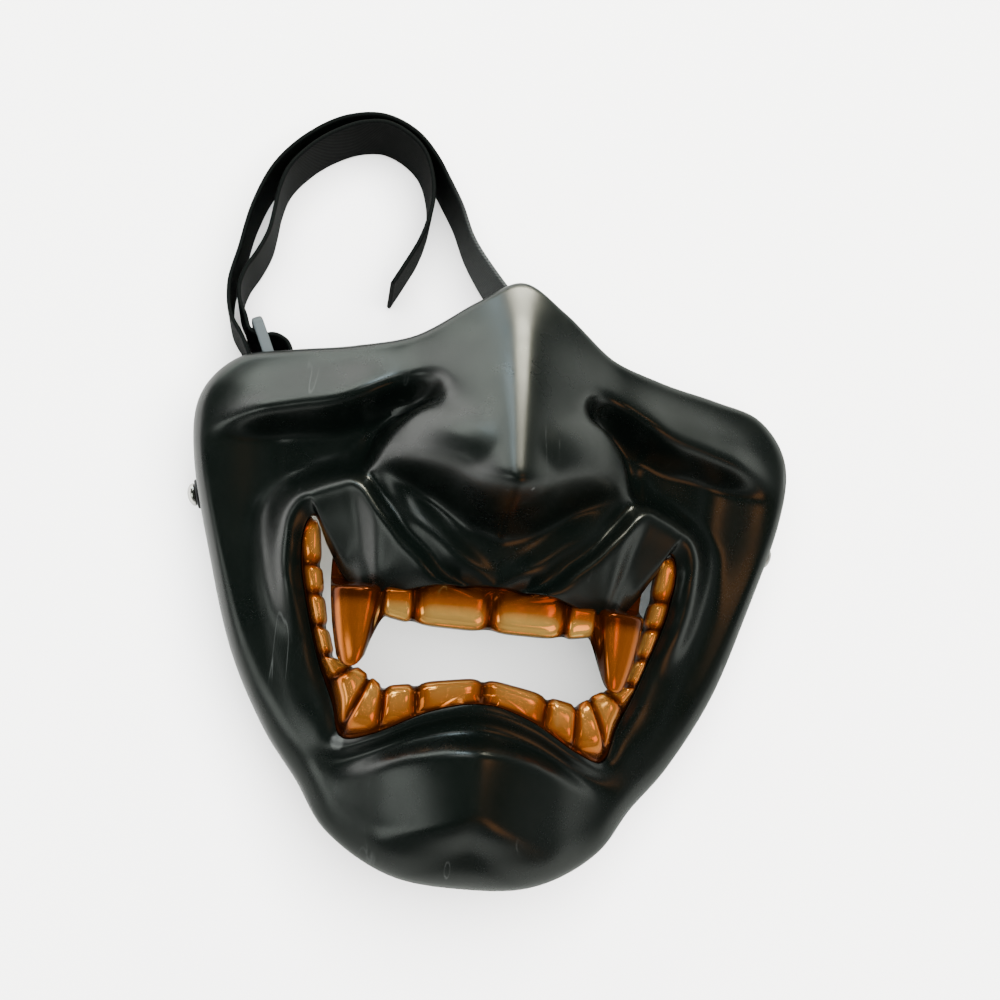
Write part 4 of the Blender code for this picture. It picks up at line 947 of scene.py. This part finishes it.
# The slider: a worn grey moulding with a bar at each end and one in the middle, which
# the strap is threaded over.
slider_start = np.array([-73.7, 61.6])
slider_end = np.array([-65.3, 43.6])
slider_thick = 3.2
slider_bar = 3.6
rail_half = 0.95
slider_low = 0.6
slider_high = 30.2
ring_columns = 160
bar_columns = 40
section_points = 28
slider_along = np.append((slider_end - slider_start) / np.linalg.norm(slider_end - slider_start), 0.0)
slider_out = np.array([slider_along[1], -slider_along[0], 0.0])
slider_middle = np.append((slider_start + slider_end) / 2, (slider_low + slider_high) / 2)
slider_length = np.linalg.norm(slider_end - slider_start)


def slider_ring():
    """Rounded oblong path in the slider's plane, with a rounded oblong section carried round it:
    cos and sin of the turn, each to a power under one with its sign kept."""
    turn = np.linspace(0.0, 2 * np.pi, ring_columns, endpoint=False)
    power = 0.22
    reach_x = slider_length / 2 - slider_bar / 2
    reach_z = (slider_high - slider_low) / 2 - rail_half
    path_x = reach_x * np.sign(np.cos(turn)) * np.abs(np.cos(turn)) ** power
    path_z = reach_z * np.sign(np.sin(turn)) * np.abs(np.sin(turn)) ** power
    end_share = fade(0.80, 0.97, np.abs(path_x) / reach_x) * fade(1.0, 0.96, np.abs(path_z) / reach_z)
    half_wide = rail_half + (slider_bar / 2 - rail_half) * end_share
    roll = np.linspace(0.0, 2 * np.pi, section_points, endpoint=False)
    deep = slider_thick / 2 * np.sign(np.cos(roll)) * np.abs(np.cos(roll)) ** 0.45
    wide = np.sign(np.sin(roll)) * np.abs(np.sin(roll)) ** 0.45
    inward = np.stack([np.abs(path_x) / reach_x, np.abs(path_z) / reach_z], 1) ** 12
    inward = inward / np.linalg.norm(inward, axis=1)[:, None] * np.sign(np.stack([path_x, path_z], 1))
    local_x = path_x[:, None] + inward[:, :1] * wide[None] * half_wide[:, None]
    local_z = path_z[:, None] + inward[:, 1:] * wide[None] * half_wide[:, None]
    return (slider_middle + slider_along * local_x[:, :, None] + slider_out * deep[None, :, None]
            + np.array([0.0, 0.0, 1.0]) * local_z[:, :, None])


def slider_mid_bar():
    """Straight bar up the middle: the same rounded section carried from bottom to top."""
    climb = np.linspace(-1.0, 1.0, bar_columns) * ((slider_high - slider_low) / 2 - 1.2)
    roll = np.linspace(0.0, 2 * np.pi, section_points, endpoint=False)
    deep = 0.42 * slider_thick * np.sign(np.cos(roll)) * np.abs(np.cos(roll)) ** 0.6
    wide = slider_bar / 2 * np.sign(np.sin(roll)) * np.abs(np.sin(roll)) ** 0.6
    size = np.ones(bar_columns)
    size[[0, -1]] = 0.0
    climb[[0, -1]] = climb[[1, -2]]
    return (slider_middle + slider_along * (wide[None] * size[:, None])[:, :, None]
            + slider_out * (deep[None] * size[:, None])[:, :, None]
            + np.array([0.0, 0.0, 1.0]) * climb[:, None, None])


worn_grey, grey_shader, grey_tree = paint("worn_grey_plastic", (0.14, 0.155, 0.16),
                                          metallic=0.0, roughness=0.48)
grey_clean = dress(grey_tree, grey_shader, (0.020, 0.024, 0.026), (0.07, 0.078, 0.08),
                   rough_low=0.42, rough_high=0.60, bump=0.2, Scratch_Scale=300.0, Smudge_Scale=160.0)
grey_place = node(grey_tree, "SeparateXYZ", [("Vector", node(grey_tree, "TexCoord").outputs["Object"])])
# Painted highlight: the top of the slider is coloured lighter.
painted_top_highlight = map_range(grey_tree, grey_place.outputs["Z"], 0.0268, 0.0298)
grey_tree.links.new(blend(grey_tree, painted_top_highlight, grey_clean, (0.035, 0.042, 0.044)),
                    grey_shader.inputs["Base Color"])
grey_shader.inputs["Specular IOR Level"].default_value = 0.25
for part_name, points, ring in (("guard_slider_frame", slider_ring(), True),
                                ("guard_slider_bar", slider_mid_bar(), False)):
    slider = lay_grid(part_name, points, ring, True)
    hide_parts("strap_slider")
    slider.data.materials.append(worn_grey)
